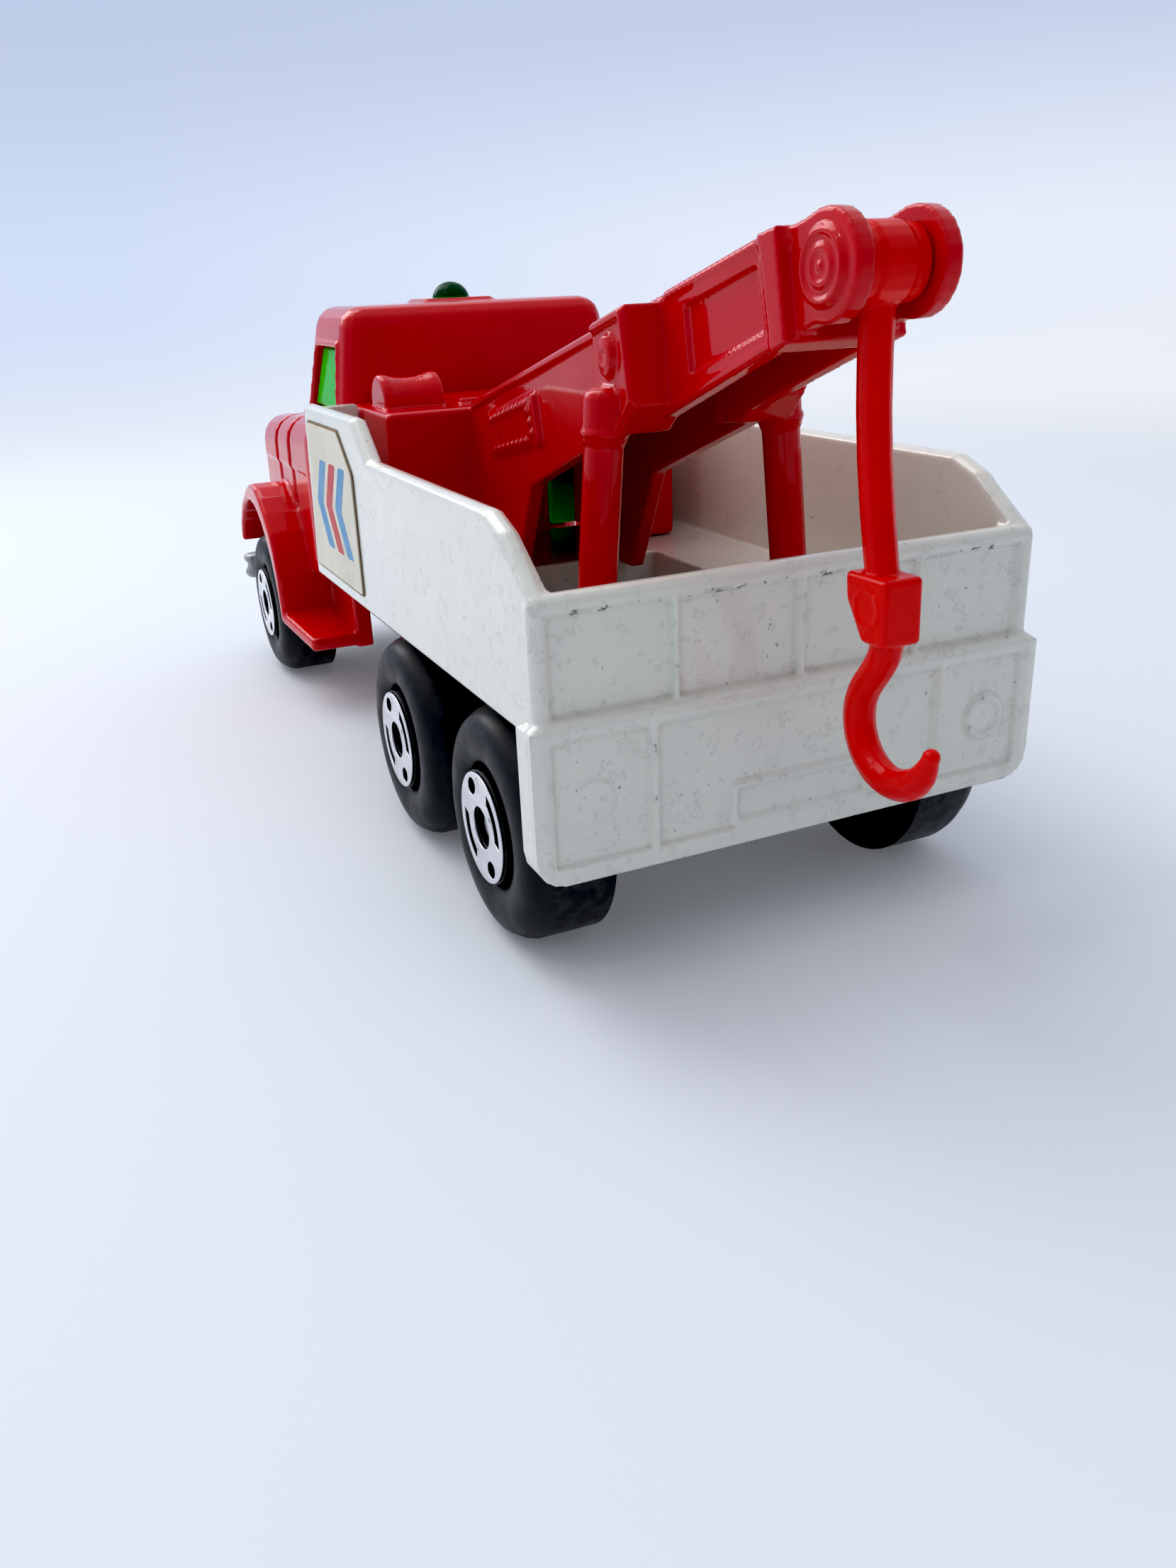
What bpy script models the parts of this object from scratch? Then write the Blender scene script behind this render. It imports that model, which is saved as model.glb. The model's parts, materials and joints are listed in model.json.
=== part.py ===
"""Toy tow truck: a six-wheeled die-cast wrecker with a swinging hook.

The frame is in metres, +X forward, +Y to the truck's left, +Z up, with the wheels on z = 0 and the
origin under the middle of the truck. Lengths in this file are millimetres, and x counts forward from
the tailgate's rear face: the empty truck_frame, which every piece hangs on, carries that shift.
"""
import math

import bmesh
import bpy
from mathutils import Matrix, Vector

MM = 0.001
SEAT = 0.06            # gap between pieces that rest on each other

# Overall
BUMPER_FRONT = 69.0
HOOK_REAR = -8.68
TAILGATE_X = -(BUMPER_FRONT + HOOK_REAR) / 2

# Wheels and axles
WHEEL_R = 5.72
WHEEL_STEPS = 24
AXLE_X = {"rear": 7.7, "middle": 21.5, "front": 58.9}
AXLE_R = 0.55
HUB_R = 2.8
HUB_FACE = 12.72       # |y| of the hub's outer face
HUB_WELL_R = 0.98
HUB_TURN = -28         # angle of the first long opening, in degrees
OPENING_R = 2.05       # distance of the round openings from the centre
HUB_WELL = 12.2        # |y| of the floor of the hub's centre recess
HUB_INNER = 7.45
WHEEL_MIDDLE = 10.4    # |y| of a wheel's origin
FOIL = 0.1

# Bed
BED_FRONT = 36.3
BED_SIDE = 12.6
BED_WALL = 1.0
FLOOR_UNDER = 12.4
FLOOR_TOP = 13.5
SIDE_BOTTOM = 12.2
SIDE_TOP = 20.8
SHOULDER_TOP = 22.8
TAILGATE_TOP = 18.1
TAILGATE_STEP = 12.85
TAILGATE_BOTTOM = 5.8
TAILGATE_SIDE = 13.1
COLLAR_BOTTOM = 9.6
WELL_FRONT = 25.5
WELL_HALF = 5.9
STRUT_WELL_HALF = 7.0

# Crane
BLOCK_REAR = 29.2
BLOCK_FRONT = 37.7
BLOCK_HALF = 9.4
BLOCK_TOP = 22.65
BOOM_HALF = 4.2
BOOM_WALL = 0.85
JIB_HALF = 2.65
BOOM_RISE = 0.25       # the top edge climbs this much per millimetre towards the tip
JIB_STEP = 0.57
STRUT_X = 9.75
STRUT_R = 0.95
STRUT_CAP_R = 1.07
STRUT_TOP = 24.9
STRUT_TOP_Y = 4.57
STRUT_LEAN = 5.15      # degrees
STRUT_FOOT = 9.7
PIVOT_X = -3.6
PIVOT_Z = 29.6
CHEEK_R = 1.97
CHEEK_IN = 1.5
CHEEK_OUT = 2.3
CHEEK_BOSS_R = 1.25

# Hook
BARREL_R = 1.4
LOOP_R = 1.5
PIN_R = 0.62
ROD_R = 0.68
COLLAR_HALF = 0.92
HOOK_X = -6.1
HOOK_Z = 12.6
HOOK_R = 2.3

# Cab
CAB_REAR = 37.9
SCREEN_FOOT = 48.6
SCREEN_HEAD = 46.6
BELT_Z = 21.4
ROOF_Z = 28.35
BELT_HALF = 10.1
ROOF_HALF = 8.9
CAB_WALL = 1.05
BONNET_REAR = 46.5
BONNET_FRONT = 65.5
BONNET_HALF = 10.25    # at its shoulders; it is a little wider lower down
BONNET_TOP = 19.95     # at its front edge
BONNET_RISE = 1.25     # its rear edge is this much higher
SHOULDER_R = 1.8
LID_LINE = 17.0        # height of the line where the bonnet's sides step in
CREASE_X = (54.0, 58.6)
CREASE_WIDTH = 0.8
CREASE_DEPTH = 0.3
FENDER_HALF = 13.0
FENDER_INNER = 8.5
ARCH_R = 6.95
ARCH_HEIGHT = 1.2      # the wheel arch is this much taller than it is wide
SILL_REAR = 45.5
SILL_BOTTOM = 4.5
SILL_HALF = 8.8
SILL_GAP = 7.55        # half width of the opening at the sill's rear, round the base
STEP_Z = 5.1           # height of a running board's middle at its rear end
STEP_THICKNESS = 1.0
STEP_SLOPE = math.radians(9)
BEACON_X = 43.7
BEACON_R = 1.3
BEACON_TOP = 29.6

# Base
BASE_REAR = 5.2
BASE_BOTTOM = 3.3
BASE_TOP = 4.4
BASE_HALF = 7.2        # at the rear bogie
WAIST_REAR = 29.5      # from here forward the base is narrower
WAIST_HALF = 4.0
RAIL_TOP = 9.3
BUMPER_BOTTOM = 6.3
BUMPER_TOP = 8.35
POST_R = 1.2
POST_HEAD_R = 1.9
HEAD_SINK = 0.55       # depth of the recess round a post's head in the base's underside
POST_X = {"rear": 30.5, "front": 54.0}


def clear_scene():
    """Remove every object that is already in the scene."""
    for thing in list(bpy.data.objects):
        bpy.data.objects.remove(thing, do_unlink=True)


def new_group(name):
    """Add a collection to the scene."""
    group = bpy.data.collections.new(name)
    bpy.context.scene.collection.children.link(group)
    return group


def paint(name, colour, roughness, metallic=0.0):
    """Make a plain material."""
    material = bpy.data.materials.new(name)
    material.use_nodes = True
    shader = material.node_tree.nodes["Principled BSDF"]
    shader.inputs["Base Color"].default_value = (*colour, 1.0)
    shader.inputs["Roughness"].default_value = roughness
    shader.inputs["Metallic"].default_value = metallic
    return material


clear_scene()
PARTS = new_group("toy_tow_truck")
TOOLS = new_group("cutters")
TRUCK = bpy.data.objects.new("truck_frame", None)
TRUCK.location = (TAILGATE_X * MM, 0, 0)
PARTS.objects.link(TRUCK)

RED = paint("red_enamel", (0.45, 0.004, 0.01), 0.25)
WHITE = paint("white_enamel", (0.8, 0.79, 0.75), 0.3)
GREEN = paint("green_plastic", (0.02, 0.5, 0.05), 0.1)
ORANGE = paint("orange_red_plastic", (0.75, 0.03, 0.012), 0.35)
GREY = paint("bare_metal", (0.42, 0.42, 0.43), 0.45, 0.9)
STEEL = paint("steel_wire", (0.5, 0.5, 0.5), 0.35, 1.0)
BLACK = paint("black_plastic", (0.015, 0.016, 0.018), 0.5)
SILVER = paint("silver_foil", (0.85, 0.85, 0.86), 0.25, 1.0)
PAPER = paint("paper_label", (0.85, 0.82, 0.72), 0.6)


def place(name, mesh, spot=(0, 0, 0), turn=(0, 0, 0)):
    """Put a mesh on the truck frame as an object, at a spot in millimetres and a turn in degrees."""
    thing = bpy.data.objects.new(name, mesh)
    PARTS.objects.link(thing)
    thing.parent = TRUCK
    thing.location = Vector(spot) * MM
    thing.rotation_euler = [math.radians(angle) for angle in turn]
    return thing


def finish_mesh(name, shape):
    """Turn a bmesh into a mesh with its faces pointing out."""
    bmesh.ops.recalc_face_normals(shape, faces=shape.faces)
    mesh = bpy.data.meshes.new(name)
    shape.to_mesh(mesh)
    shape.free()
    return mesh


def round_edges(thing, width, segments=2):
    """Round every edge of an object that is sharper than 30 degrees."""
    bevel = thing.modifiers.new("round_edges", "BEVEL")
    bevel.width = width * MM
    bevel.segments = segments
    bevel.limit_method = "ANGLE"
    bevel.angle_limit = math.radians(30)
    return thing


def box(name, low, high, bevel=0.0, segments=2):
    """Add a box between two corners, with rounded edges if bevel is given."""
    low, high = Vector(low), Vector(high)
    shape = bmesh.new()
    size = Matrix.Diagonal((*((high - low) * MM), 1))
    bmesh.ops.create_cube(shape, size=1, matrix=Matrix.Translation((low + high) / 2 * MM) @ size)
    thing = place(name, finish_mesh(name, shape))
    if bevel:
        round_edges(thing, bevel, segments)
    return thing


def tapered_box(name, foot, head, bevel=0.0, segments=2, rear_rise=0.0):
    """Add a box whose foot and head, each (x0, x1, half width, z), differ in size.

    The head's rear edge lies rear_rise above its front edge.
    """
    shape = bmesh.new()
    bmesh.ops.create_cube(shape, size=2)
    for vert in shape.verts:
        x0, x1, half, z = head if vert.co.z > 0 else foot
        rise = rear_rise if vert.co.z > 0 > vert.co.x else 0.0
        vert.co = Vector((x1 if vert.co.x > 0 else x0, half * vert.co.y, z + rise)) * MM
    thing = place(name, finish_mesh(name, shape))
    if bevel:
        round_edges(thing, bevel, segments)
    return thing


def arc(centre, radius, start, end, steps, stretch=1.0):
    """Points on an arc between two angles in degrees; stretch scales its second axis."""
    points = []
    for step in range(steps + 1):
        angle = math.radians(start + (end - start) * step / steps)
        points.append((centre[0] + radius * math.cos(angle),
                       centre[1] + radius * stretch * math.sin(angle)))
    return points


def as_mesh(thing):
    """Replace a curve object by the welded mesh that it evaluates to, in the same place."""
    graph = bpy.context.evaluated_depsgraph_get()
    mesh = bpy.data.meshes.new_from_object(thing.evaluated_get(graph))
    shape = bmesh.new()
    shape.from_mesh(mesh)
    bmesh.ops.remove_doubles(shape, verts=shape.verts, dist=0.001 * MM)
    bpy.data.meshes.remove(mesh)
    name = thing.name
    spot, turn = thing.location.copy(), thing.rotation_euler.copy()
    bpy.data.objects.remove(thing)
    solid = place(name, finish_mesh(name, shape))
    solid.location, solid.rotation_euler = spot, turn
    return solid


SIDE_VIEW = (90, 0, 0)     # an outline of (x, z) points, with its thickness across the truck
REAR_VIEW = (90, 0, 90)    # an outline of (y, z) points, with its thickness along the truck
PLAN_VIEW = (0, 0, 0)      # an outline of (x, y) points, with its thickness upwards


def slab(name, outlines, low, high, view=SIDE_VIEW, bevel=0.0, segments=2):
    """Add a flat plate with the given outlines (the first outer, the rest holes) from low to high."""
    curve = bpy.data.curves.new(name, "CURVE")
    curve.dimensions = "2D"
    curve.fill_mode = "BOTH"
    curve.extrude = (high - low) / 2 * MM
    for outline in outlines:
        spline = curve.splines.new("POLY")
        spline.points.add(len(outline) - 1)
        for point, (across, up) in zip(spline.points, outline):
            point.co = (across * MM, up * MM, 0, 1)
        spline.use_cyclic_u = True
    middle = (low + high) / 2
    spot = {SIDE_VIEW: (0, middle, 0), REAR_VIEW: (middle, 0, 0), PLAN_VIEW: (0, 0, middle)}[view]
    thing = as_mesh(place(name, curve, spot, view))
    if bevel:
        round_edges(thing, bevel, segments)
    return thing


def rod(name, start, end, radius, sides=16, end_radius=None):
    """Add a round bar, or a cone if end_radius is given, between two points."""
    start, end = Vector(start) * MM, Vector(end) * MM
    along = end - start
    aim = along.to_track_quat("Z", "Y").to_matrix().to_4x4()
    shape = bmesh.new()
    tip = radius if end_radius is None else end_radius
    bmesh.ops.create_cone(shape, cap_ends=True, segments=sides, radius1=radius * MM, radius2=tip * MM,
                          depth=along.length, matrix=Matrix.Translation((start + end) / 2) @ aim)
    return place(name, finish_mesh(name, shape))


def turned(name, profile, steps, spot=(0, 0, 0), turn=(0, 0, 0), closed=True):
    """Add a turned solid: (radius, height) points, down the outer side, spun round the local Z axis."""
    shape = bmesh.new()
    verts = [shape.verts.new((radius * MM, 0, height * MM)) for radius, height in profile]
    for first, second in zip(verts, verts[1:]):
        shape.edges.new((first, second))
    if closed:
        shape.edges.new((verts[-1], verts[0]))
    mesh = bpy.data.meshes.new(name)
    shape.to_mesh(mesh)
    shape.free()
    return spin(place(name, mesh, spot, turn), steps)


def spin(thing, steps):
    """Spin an object's profile round its local Z axis."""
    screw = thing.modifiers.new("spin", "SCREW")
    screw.axis = "Z"
    screw.steps = screw.render_steps = steps
    screw.use_merge_vertices = True
    screw.merge_threshold = 0.001 * MM
    return thing


def combine(target, tools, operation):
    """Add or remove the shape of each tool, and keep the tool as a hidden guide."""
    for tool in tools:
        change = target.modifiers.new(tool.name, "BOOLEAN")
        change.operation = operation
        change.solver = "EXACT"
        change.object = tool
        PARTS.objects.unlink(tool)
        TOOLS.objects.link(tool)
        tool.hide_render = True
        tool.display_type = "WIRE"
    return target


def unite(target, tools):
    """Join the tools to the target."""
    return combine(target, tools, "UNION")


def carve(target, tools):
    """Cut the tools out of the target."""
    return combine(target, tools, "DIFFERENCE")


def coat(thing, material, smooth_below=35):
    """Give a piece its material, and shade it smooth except across its sharper edges."""
    thing.data.materials.clear()
    thing.data.materials.append(material)
    thing.data.shade_smooth()
    thing.data.set_sharp_from_angle(angle=math.radians(smooth_below))
    return thing


def both_sides(make):
    """Call make(side) for the left side (+1) and the right side (-1)."""
    return [make(1), make(-1)]


def span(side, inner, outer):
    """The lower and upper y of a band between two distances from the centre plane."""
    return sorted((side * inner, side * outer))


def side_box(name, side, low, high, bevel=0.0):
    """Add a box on one side; the y values of low and high are distances from the centre plane."""
    y0, y1 = span(side, low[1], high[1])
    return box(f"{name}_{side}", (low[0], y0, low[2]), (high[0], y1, high[2]), bevel)


def rivet_post(end, top):
    """A post down through the base, with its flat head let into the base's underside."""
    x = POST_X[end]
    shank = rod(f"{end}_post", (x, 0, BASE_BOTTOM + 0.2), (x, 0, top), POST_R)
    head = rod(f"{end}_post_head", (x, 0, BASE_BOTTOM + 0.08), (x, 0, BASE_BOTTOM + HEAD_SINK - SEAT),
               POST_HEAD_R)
    return [shank, head]


# ---------------------------------------------------------------- bed


def side_panel(side):
    """One side of the bed: tall at the front, stepped down, and sloped to the tailgate."""
    outline = [(0.6, SIDE_BOTTOM), (38.1, SIDE_BOTTOM), (36.5, 22.3), (36.0, SHOULDER_TOP),
               (25.6, SHOULDER_TOP), (23.1, SIDE_TOP), (5.2, SIDE_TOP), (3.6, 20.2), (0.6, TAILGATE_TOP)]
    low, high = span(side, BED_SIDE - BED_WALL, BED_SIDE)
    return slab(f"side_panel_{side}", [outline], low, high)


def tailgate_lower():
    """The tailgate's lower plate, wider than the bed, with rounded lower corners."""
    turn = 1.3
    right = arc((-TAILGATE_SIDE + turn, TAILGATE_BOTTOM + turn), turn, 180, 270, 4)
    left = arc((TAILGATE_SIDE - turn, TAILGATE_BOTTOM + turn), turn, 270, 360, 4)
    outline = right + left + [(TAILGATE_SIDE, TAILGATE_STEP), (-TAILGATE_SIDE, TAILGATE_STEP)]
    return slab("tailgate_lower", [outline], 0, 1.6, REAR_VIEW)


def tailgate_recesses():
    """The shallow panels between the tailgate's rims and ribs."""
    depth = 0.2
    rib = 0.15
    upper_ribs = (-12.0 - rib, -6.2, 0.0, 6.2, 12.0 + rib)
    lower_ribs = (-12.2 - rib, -7.5, 7.5, 12.2 + rib)
    cuts = []
    for ribs, face, low, high in ((upper_ribs, 0.45, 13.1, 17.4), (lower_ribs, 0.0, 6.6, 12.4)):
        for right, left in zip(ribs, ribs[1:]):
            cuts.append(box(f"recess_{face}_{right}", (face - 1, right + rib, low),
                            (face + depth, left - rib, high)))
    return cuts


def plate_frame():
    """The empty frame of the number plate, standing on the lower panel."""
    outer = [(-3.6, 6.75), (3.6, 6.75), (3.6, 8.75), (-3.6, 8.75)]
    inner = [(-3.4, 6.95), (3.4, 6.95), (3.4, 8.55), (-3.4, 8.55)]
    return slab("plate_frame", [outer, inner], 0.1, 0.6, REAR_VIEW)


def truck_bed():
    """The white casting: floor with a central well, side panels, bulkheads, tailgate and rear post."""
    bed = box("truck_bed", (1.0, -12.1, FLOOR_UNDER), (BED_FRONT - 0.1, 12.1, FLOOR_TOP))
    collar = box("well_collar", (5.2, -7.9, COLLAR_BOTTOM), (WELL_FRONT + 1, 7.9, FLOOR_UNDER + 0.5))
    upper = box("tailgate_upper", (0.45, -BED_SIDE, 11.9), (1.65, BED_SIDE, TAILGATE_TOP))
    bulkheads = both_sides(lambda side: side_box(
        "bulkhead", side, (35.1, BLOCK_HALF + 0.12, FLOOR_TOP - 0.5), (BED_FRONT, 12.0, SHOULDER_TOP)))
    post = rivet_post("rear", FLOOR_TOP - 0.5)
    unite(bed, [collar, upper, tailgate_lower()] + post + both_sides(side_panel) + bulkheads)
    well = box("well", (12.0, -WELL_HALF, 9), (WELL_FRONT, WELL_HALF, 14))
    strut_well = box("strut_well", (6.2, -STRUT_WELL_HALF, 9), (13.1, STRUT_WELL_HALF, 14))
    carve(bed, [well, strut_well] + tailgate_recesses())
    ejector_marks = both_sides(lambda side: rod(
        f"ejector_mark_{side}", (0.11, side * 10.3, 9.35), (0.6, side * 10.3, 9.35), 0.95))
    unite(bed, [plate_frame()] + ejector_marks)
    return coat(bed, WHITE)


# ---------------------------------------------------------------- crane


def boom_top(x):
    """Height of the boom's top edge."""
    return BLOCK_TOP + 0.2 + BOOM_RISE * (BLOCK_REAR - x)


def boom_under(x):
    """Height of the boom's lower edge behind its legs."""
    return 19.1 + 0.355 * (20.5 - x)


def boom_body():
    """The wide, lower part of the boom with its legs."""
    foot = FLOOR_TOP - 0.4
    seat = FLOOR_TOP + SEAT
    leg_front = WELL_FRONT - 0.1
    outline = [(30.5, seat), (30.5, 22.0), (BLOCK_REAR, boom_top(BLOCK_REAR)), (9.6, boom_top(9.6)),
               (9.6, boom_under(9.6)), (20.5, 19.1), (23.7, foot), (leg_front, foot), (leg_front, seat)]
    return slab("boom_body", [outline], -BOOM_HALF, BOOM_HALF)


def jib_body():
    """The narrow, upper part of the boom."""
    outline = [(x, boom_under(x)) for x in (10.6, -1.0)]
    outline += [(x, boom_top(x) + JIB_STEP) for x in (-1.0, 10.6)]
    return slab("jib_body", [outline], -JIB_HALF, JIB_HALF)


def lug(side):
    """The bracket on the boom's side that the strut meets, with its oval bolt boss."""
    outline = [(11.4, 22.7), (8.6, 22.9), (7.2, 24.2), (8.0, 28.45), (11.4, 27.6)]
    low, high = span(side, 1.9, 4.45)
    body = slab(f"lug_{side}", [outline], low, high)
    low, high = span(side, 4.2, 4.75)
    boss = slab(f"lug_boss_{side}", [arc((9.6, 26.25), 0.7, 0, 337.5, 15, 1.3)], low, high)
    return [body, boss]


def cheek(side):
    """One side of the forked tip, round about the hook's pin, with a ring boss outside."""
    outline = [(-0.8, 30.9), (-2.2, 31.2)] + arc((PIVOT_X, PIVOT_Z), CHEEK_R, 75, 285, 14)
    outline += [(-2.0, 27.3), (-0.8, 26.8)]
    low, high = span(side, CHEEK_IN, CHEEK_OUT)
    body = slab(f"cheek_{side}", [outline], low, high)
    boss = rod(f"cheek_boss_{side}", (PIVOT_X, side * (CHEEK_OUT - 0.3), PIVOT_Z),
               (PIVOT_X, side * (CHEEK_OUT + 0.12), PIVOT_Z), CHEEK_BOSS_R, 20)
    return [body, boss]


def strut(side):
    """A round strut with a larger, rounded cap, leaning out towards its foot."""
    cap = 2.4
    length = STRUT_TOP - STRUT_FOOT
    profile = [(0, 0), (0.6, 0), (0.95, -0.2), (STRUT_CAP_R, -0.5), (STRUT_CAP_R, -cap),
               (STRUT_R, -cap - 0.1), (STRUT_R, -length), (0, -length)]
    return [turned(f"strut_{side}", profile, 16, (STRUT_X, side * STRUT_TOP_Y, STRUT_TOP),
                   (side * STRUT_LEAN, 0, 0), closed=False)]


def drum(side):
    """A winch drum lying across the block's top, waisted between its two flanges."""
    profile = [(0, 1.9), (1.45, 1.9), (1.6, 1.75), (1.6, 1.35), (1.3, 1.2), (1.15, 0.5), (1.12, -0.3),
               (1.25, -0.9), (1.6, -1.35), (1.6, -1.75), (1.45, -1.9), (0, -1.9)]
    return turned(f"drum_{side}", profile, 20, (33.2, side * 6.85, BLOCK_TOP + 0.35), (-90 * side, 0, 0),
                  closed=False)


def access_panel(side):
    """A thin raised panel on the boom's side."""
    outline = [(26.4, 22.4), (19.35, 24.05), (18.7, 21.5), (25.8, 20.1)]
    low, high = span(side, BOOM_HALF - 0.3, BOOM_HALF + 0.12)
    return slab(f"access_panel_{side}", [outline], low, high)


def jib_recess(side):
    """The shallow sunk panel on the jib's side."""
    outline = [(6.0, 28.3), (0.35, 29.75), (-0.35, 27.35), (5.5, 25.5)]
    low, high = span(side, JIB_HALF - 0.2, JIB_HALF + 1)
    return slab(f"jib_recess_{side}", [outline], low, high)


def crane_casting():
    """The red wrecker casting: winch block, hollow boom, forked tip, drums and struts."""
    crane = box("crane_casting", (BLOCK_REAR, -BLOCK_HALF, FLOOR_TOP + SEAT),
                (BLOCK_FRONT, BLOCK_HALF, BLOCK_TOP), 0.3)
    band = slab("jib_band", [[(0.1, 30.8), (-0.95, 26.6), (-2.0, 27.0), (-1.2, 31.05)]], -2.82, 2.82)
    tread = box("tread_plate", (31.8, -4.0, BLOCK_TOP - 0.4), (37.0, 4.0, BLOCK_TOP + 0.22))
    unite(crane, [boom_body(), jib_body(), tread] + both_sides(access_panel))
    boom_room = slab("boom_room", [[(38.5, 12), (38.5, 21.4), (BLOCK_REAR, 21.7), (9.9, boom_top(9.9) - 0.9),
                                    (9.9, 12)]], BOOM_WALL - BOOM_HALF, BOOM_HALF - BOOM_WALL)
    jib_room = slab("jib_room", [[(12, 21), (12, boom_top(12) - 0.5), (-0.6, boom_top(-0.6) - 0.3),
                                  (-0.6, 24)]], -1.85, 1.85)
    block_room = box("block_room", (BLOCK_REAR + 1, 1 - BLOCK_HALF, 12), (39, BLOCK_HALF - 1, 21.6))
    carve(crane, [boom_room, jib_room, block_room] + both_sides(jib_recess))
    for part in (lug, cheek, strut):
        unite(crane, part(1) + part(-1))
    unite(crane, [band] + both_sides(drum))
    pin_hole = rod("pin_hole", (PIVOT_X, -1.95, PIVOT_Z), (PIVOT_X, 1.95, PIVOT_Z), PIN_R + 0.1)
    carve(crane, [pin_hole])
    return coat(crane, RED)


# ---------------------------------------------------------------- hook


def tow_hook():
    """The plastic hook: pin stubs, barrel, rod, tapered collar and hook. Its origin is the pin's axis."""
    curve = bpy.data.curves.new("hook_wire", "CURVE")
    curve.dimensions = "3D"
    curve.bevel_depth = ROD_R * MM
    curve.bevel_resolution = 3
    curve.resolution_u = 2
    curve.use_fill_caps = True
    rod_path = [(-3.75, 29.3), (-3.72, 26.5), (-4.0, 22.8), (-4.75, 18.8), (-5.35, 15.9), (-4.95, 14.9)]
    path = rod_path + arc((HOOK_X, HOOK_Z), HOOK_R, 37, -168, 9)
    spline = curve.splines.new("BEZIER")
    spline.bezier_points.add(len(path) - 1)
    for point, (x, z) in zip(spline.bezier_points, path):
        point.co = Vector((x - PIVOT_X, 0, z - PIVOT_Z)) * MM
        point.handle_left_type = point.handle_right_type = "AUTO"
    spline.bezier_points[-2].radius = 0.8
    spline.bezier_points[-1].radius = 0.5
    pivot = (PIVOT_X, 0, PIVOT_Z)
    hook = as_mesh(place("tow_hook", curve, pivot))
    barrel = rod("hook_barrel", (PIVOT_X, 0.1 - CHEEK_IN, PIVOT_Z), (PIVOT_X, CHEEK_IN - 0.1, PIVOT_Z),
                 BARREL_R, 20)
    pins = rod("hook_pins", (PIVOT_X, -1.85, PIVOT_Z), (PIVOT_X, 1.85, PIVOT_Z), PIN_R)
    outline = [(-6.25, 15.95), (-4.85, 15.95), (-3.75, 17.6), (-3.65, 18.6), (-6.2, 18.6)]
    collar = slab("hook_collar", [outline], -COLLAR_HALF, COLLAR_HALF, SIDE_VIEW, 0.12, 1)
    loop = rod("hook_loop", (PIVOT_X, -0.68, PIVOT_Z), (PIVOT_X, 0.68, PIVOT_Z), LOOP_R, 20)
    unite(hook, [barrel, pins, collar, loop])
    return coat(hook, ORANGE)


# ---------------------------------------------------------------- cab


def window_blocks(name, inset, reach):
    """Blocks in the side windows and the windscreen, smaller than them by inset all round.

    They end reach outside the cab's walls, or inside them if it is negative.
    """
    sides = tapered_box(f"{name}_sides", (39.5 + inset, 46.4 - inset, 9.85 + reach, 22.0 + inset),
                        (39.8 + inset, 45.0 - inset, 9.25 + reach, 25.9 - inset))
    screen = tapered_box(f"{name}_screen", (44.4, 48.15 + reach, 7.7 - inset, 22.1 + inset),
                         (44.4, 47.1 + reach, 7.0 - inset, 26.4 - inset))
    return [sides, screen]


def fender(side):
    """A front fender: a band round the wheel arch, cut level in front and swept down to the step behind."""
    outline = [(60, 9.9), (65.5, 9.9), (64.9, 11.6), (62.9, 13.5), (60.4, 14.8), (58.8, 15.35), (57.4, 15.55),
               (56.2, 15.35), (55.1, 14.75), (53.8, 13.7), (52.5, 12.4), (51.8, 11.0), (51.35, 9.2),
               (51.15, 5.8), (60, 5.8)]
    low, high = span(side, FENDER_INNER, FENDER_HALF)
    return slab(f"fender_{side}", [outline], low, high, SIDE_VIEW, 0.4)


def step(side):
    """The running board behind a fender, which climbs a little and widens towards it."""
    outline = [(0, side * 8.4), (0, side * 12.1), (5.9, side * 12.95), (7.6, side * 12.95), (7.6, side * 8.4)]
    board = slab(f"step_{side}", [outline], -STEP_THICKNESS / 2, STEP_THICKNESS / 2, PLAN_VIEW, 0.18, 1)
    board.location = Vector((SILL_REAR, 0, STEP_Z)) * MM
    board.rotation_euler.y = -STEP_SLOPE
    return board


def crease(x):
    """An arch that cuts a groove of even depth over the bonnet's sides and shoulders."""
    top = BONNET_TOP + BONNET_RISE * (BONNET_FRONT - x) / (BONNET_FRONT - BONNET_REAR) - CREASE_DEPTH
    half = BONNET_HALF - CREASE_DEPTH
    right = arc((SHOULDER_R - half, top - SHOULDER_R), SHOULDER_R, 180, 90, 5)
    left = arc((half - SHOULDER_R, top - SHOULDER_R), SHOULDER_R, 90, 0, 5)
    inner = [(-half - 0.1, 7)] + right + left + [(half + 0.1, 7)]
    outer = [(14, 7), (14, 24), (-14, 24), (-14, 7)]
    return slab(f"crease_{x}", [inner + outer], x - CREASE_WIDTH / 2, x + CREASE_WIDTH / 2, REAR_VIEW)


def bonnet():
    """The bonnet, with rounded shoulders, two creases over it and a line along each side."""
    foot = (BONNET_REAR, BONNET_FRONT, BONNET_HALF + 0.4, 9.0)
    head = (BONNET_REAR, BONNET_FRONT - 0.4, BONNET_HALF, BONNET_TOP)
    hood = tapered_box("bonnet", foot, head, SHOULDER_R, 4, BONNET_RISE)
    lid_lines = both_sides(lambda side: side_box(
        "lid_line", side, (48.8, BONNET_HALF - 0.05, 7.0), (BONNET_FRONT + 1, 12.0, LID_LINE)))
    return carve(hood, lid_lines + [crease(x) for x in CREASE_X])


def cab_lower():
    """The parts of the cab casting below the windows."""
    body = box("cab_doors", (CAB_REAR, -BELT_HALF, 12.0), (SCREEN_FOOT, BELT_HALF, BELT_Z + 0.3), 0.5)
    sill = box("sill", (SILL_REAR, -SILL_HALF, SILL_BOTTOM), (53.0, SILL_HALF, 13.0), 0.15, 1)
    return body, [bonnet(), sill] + both_sides(step)


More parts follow.
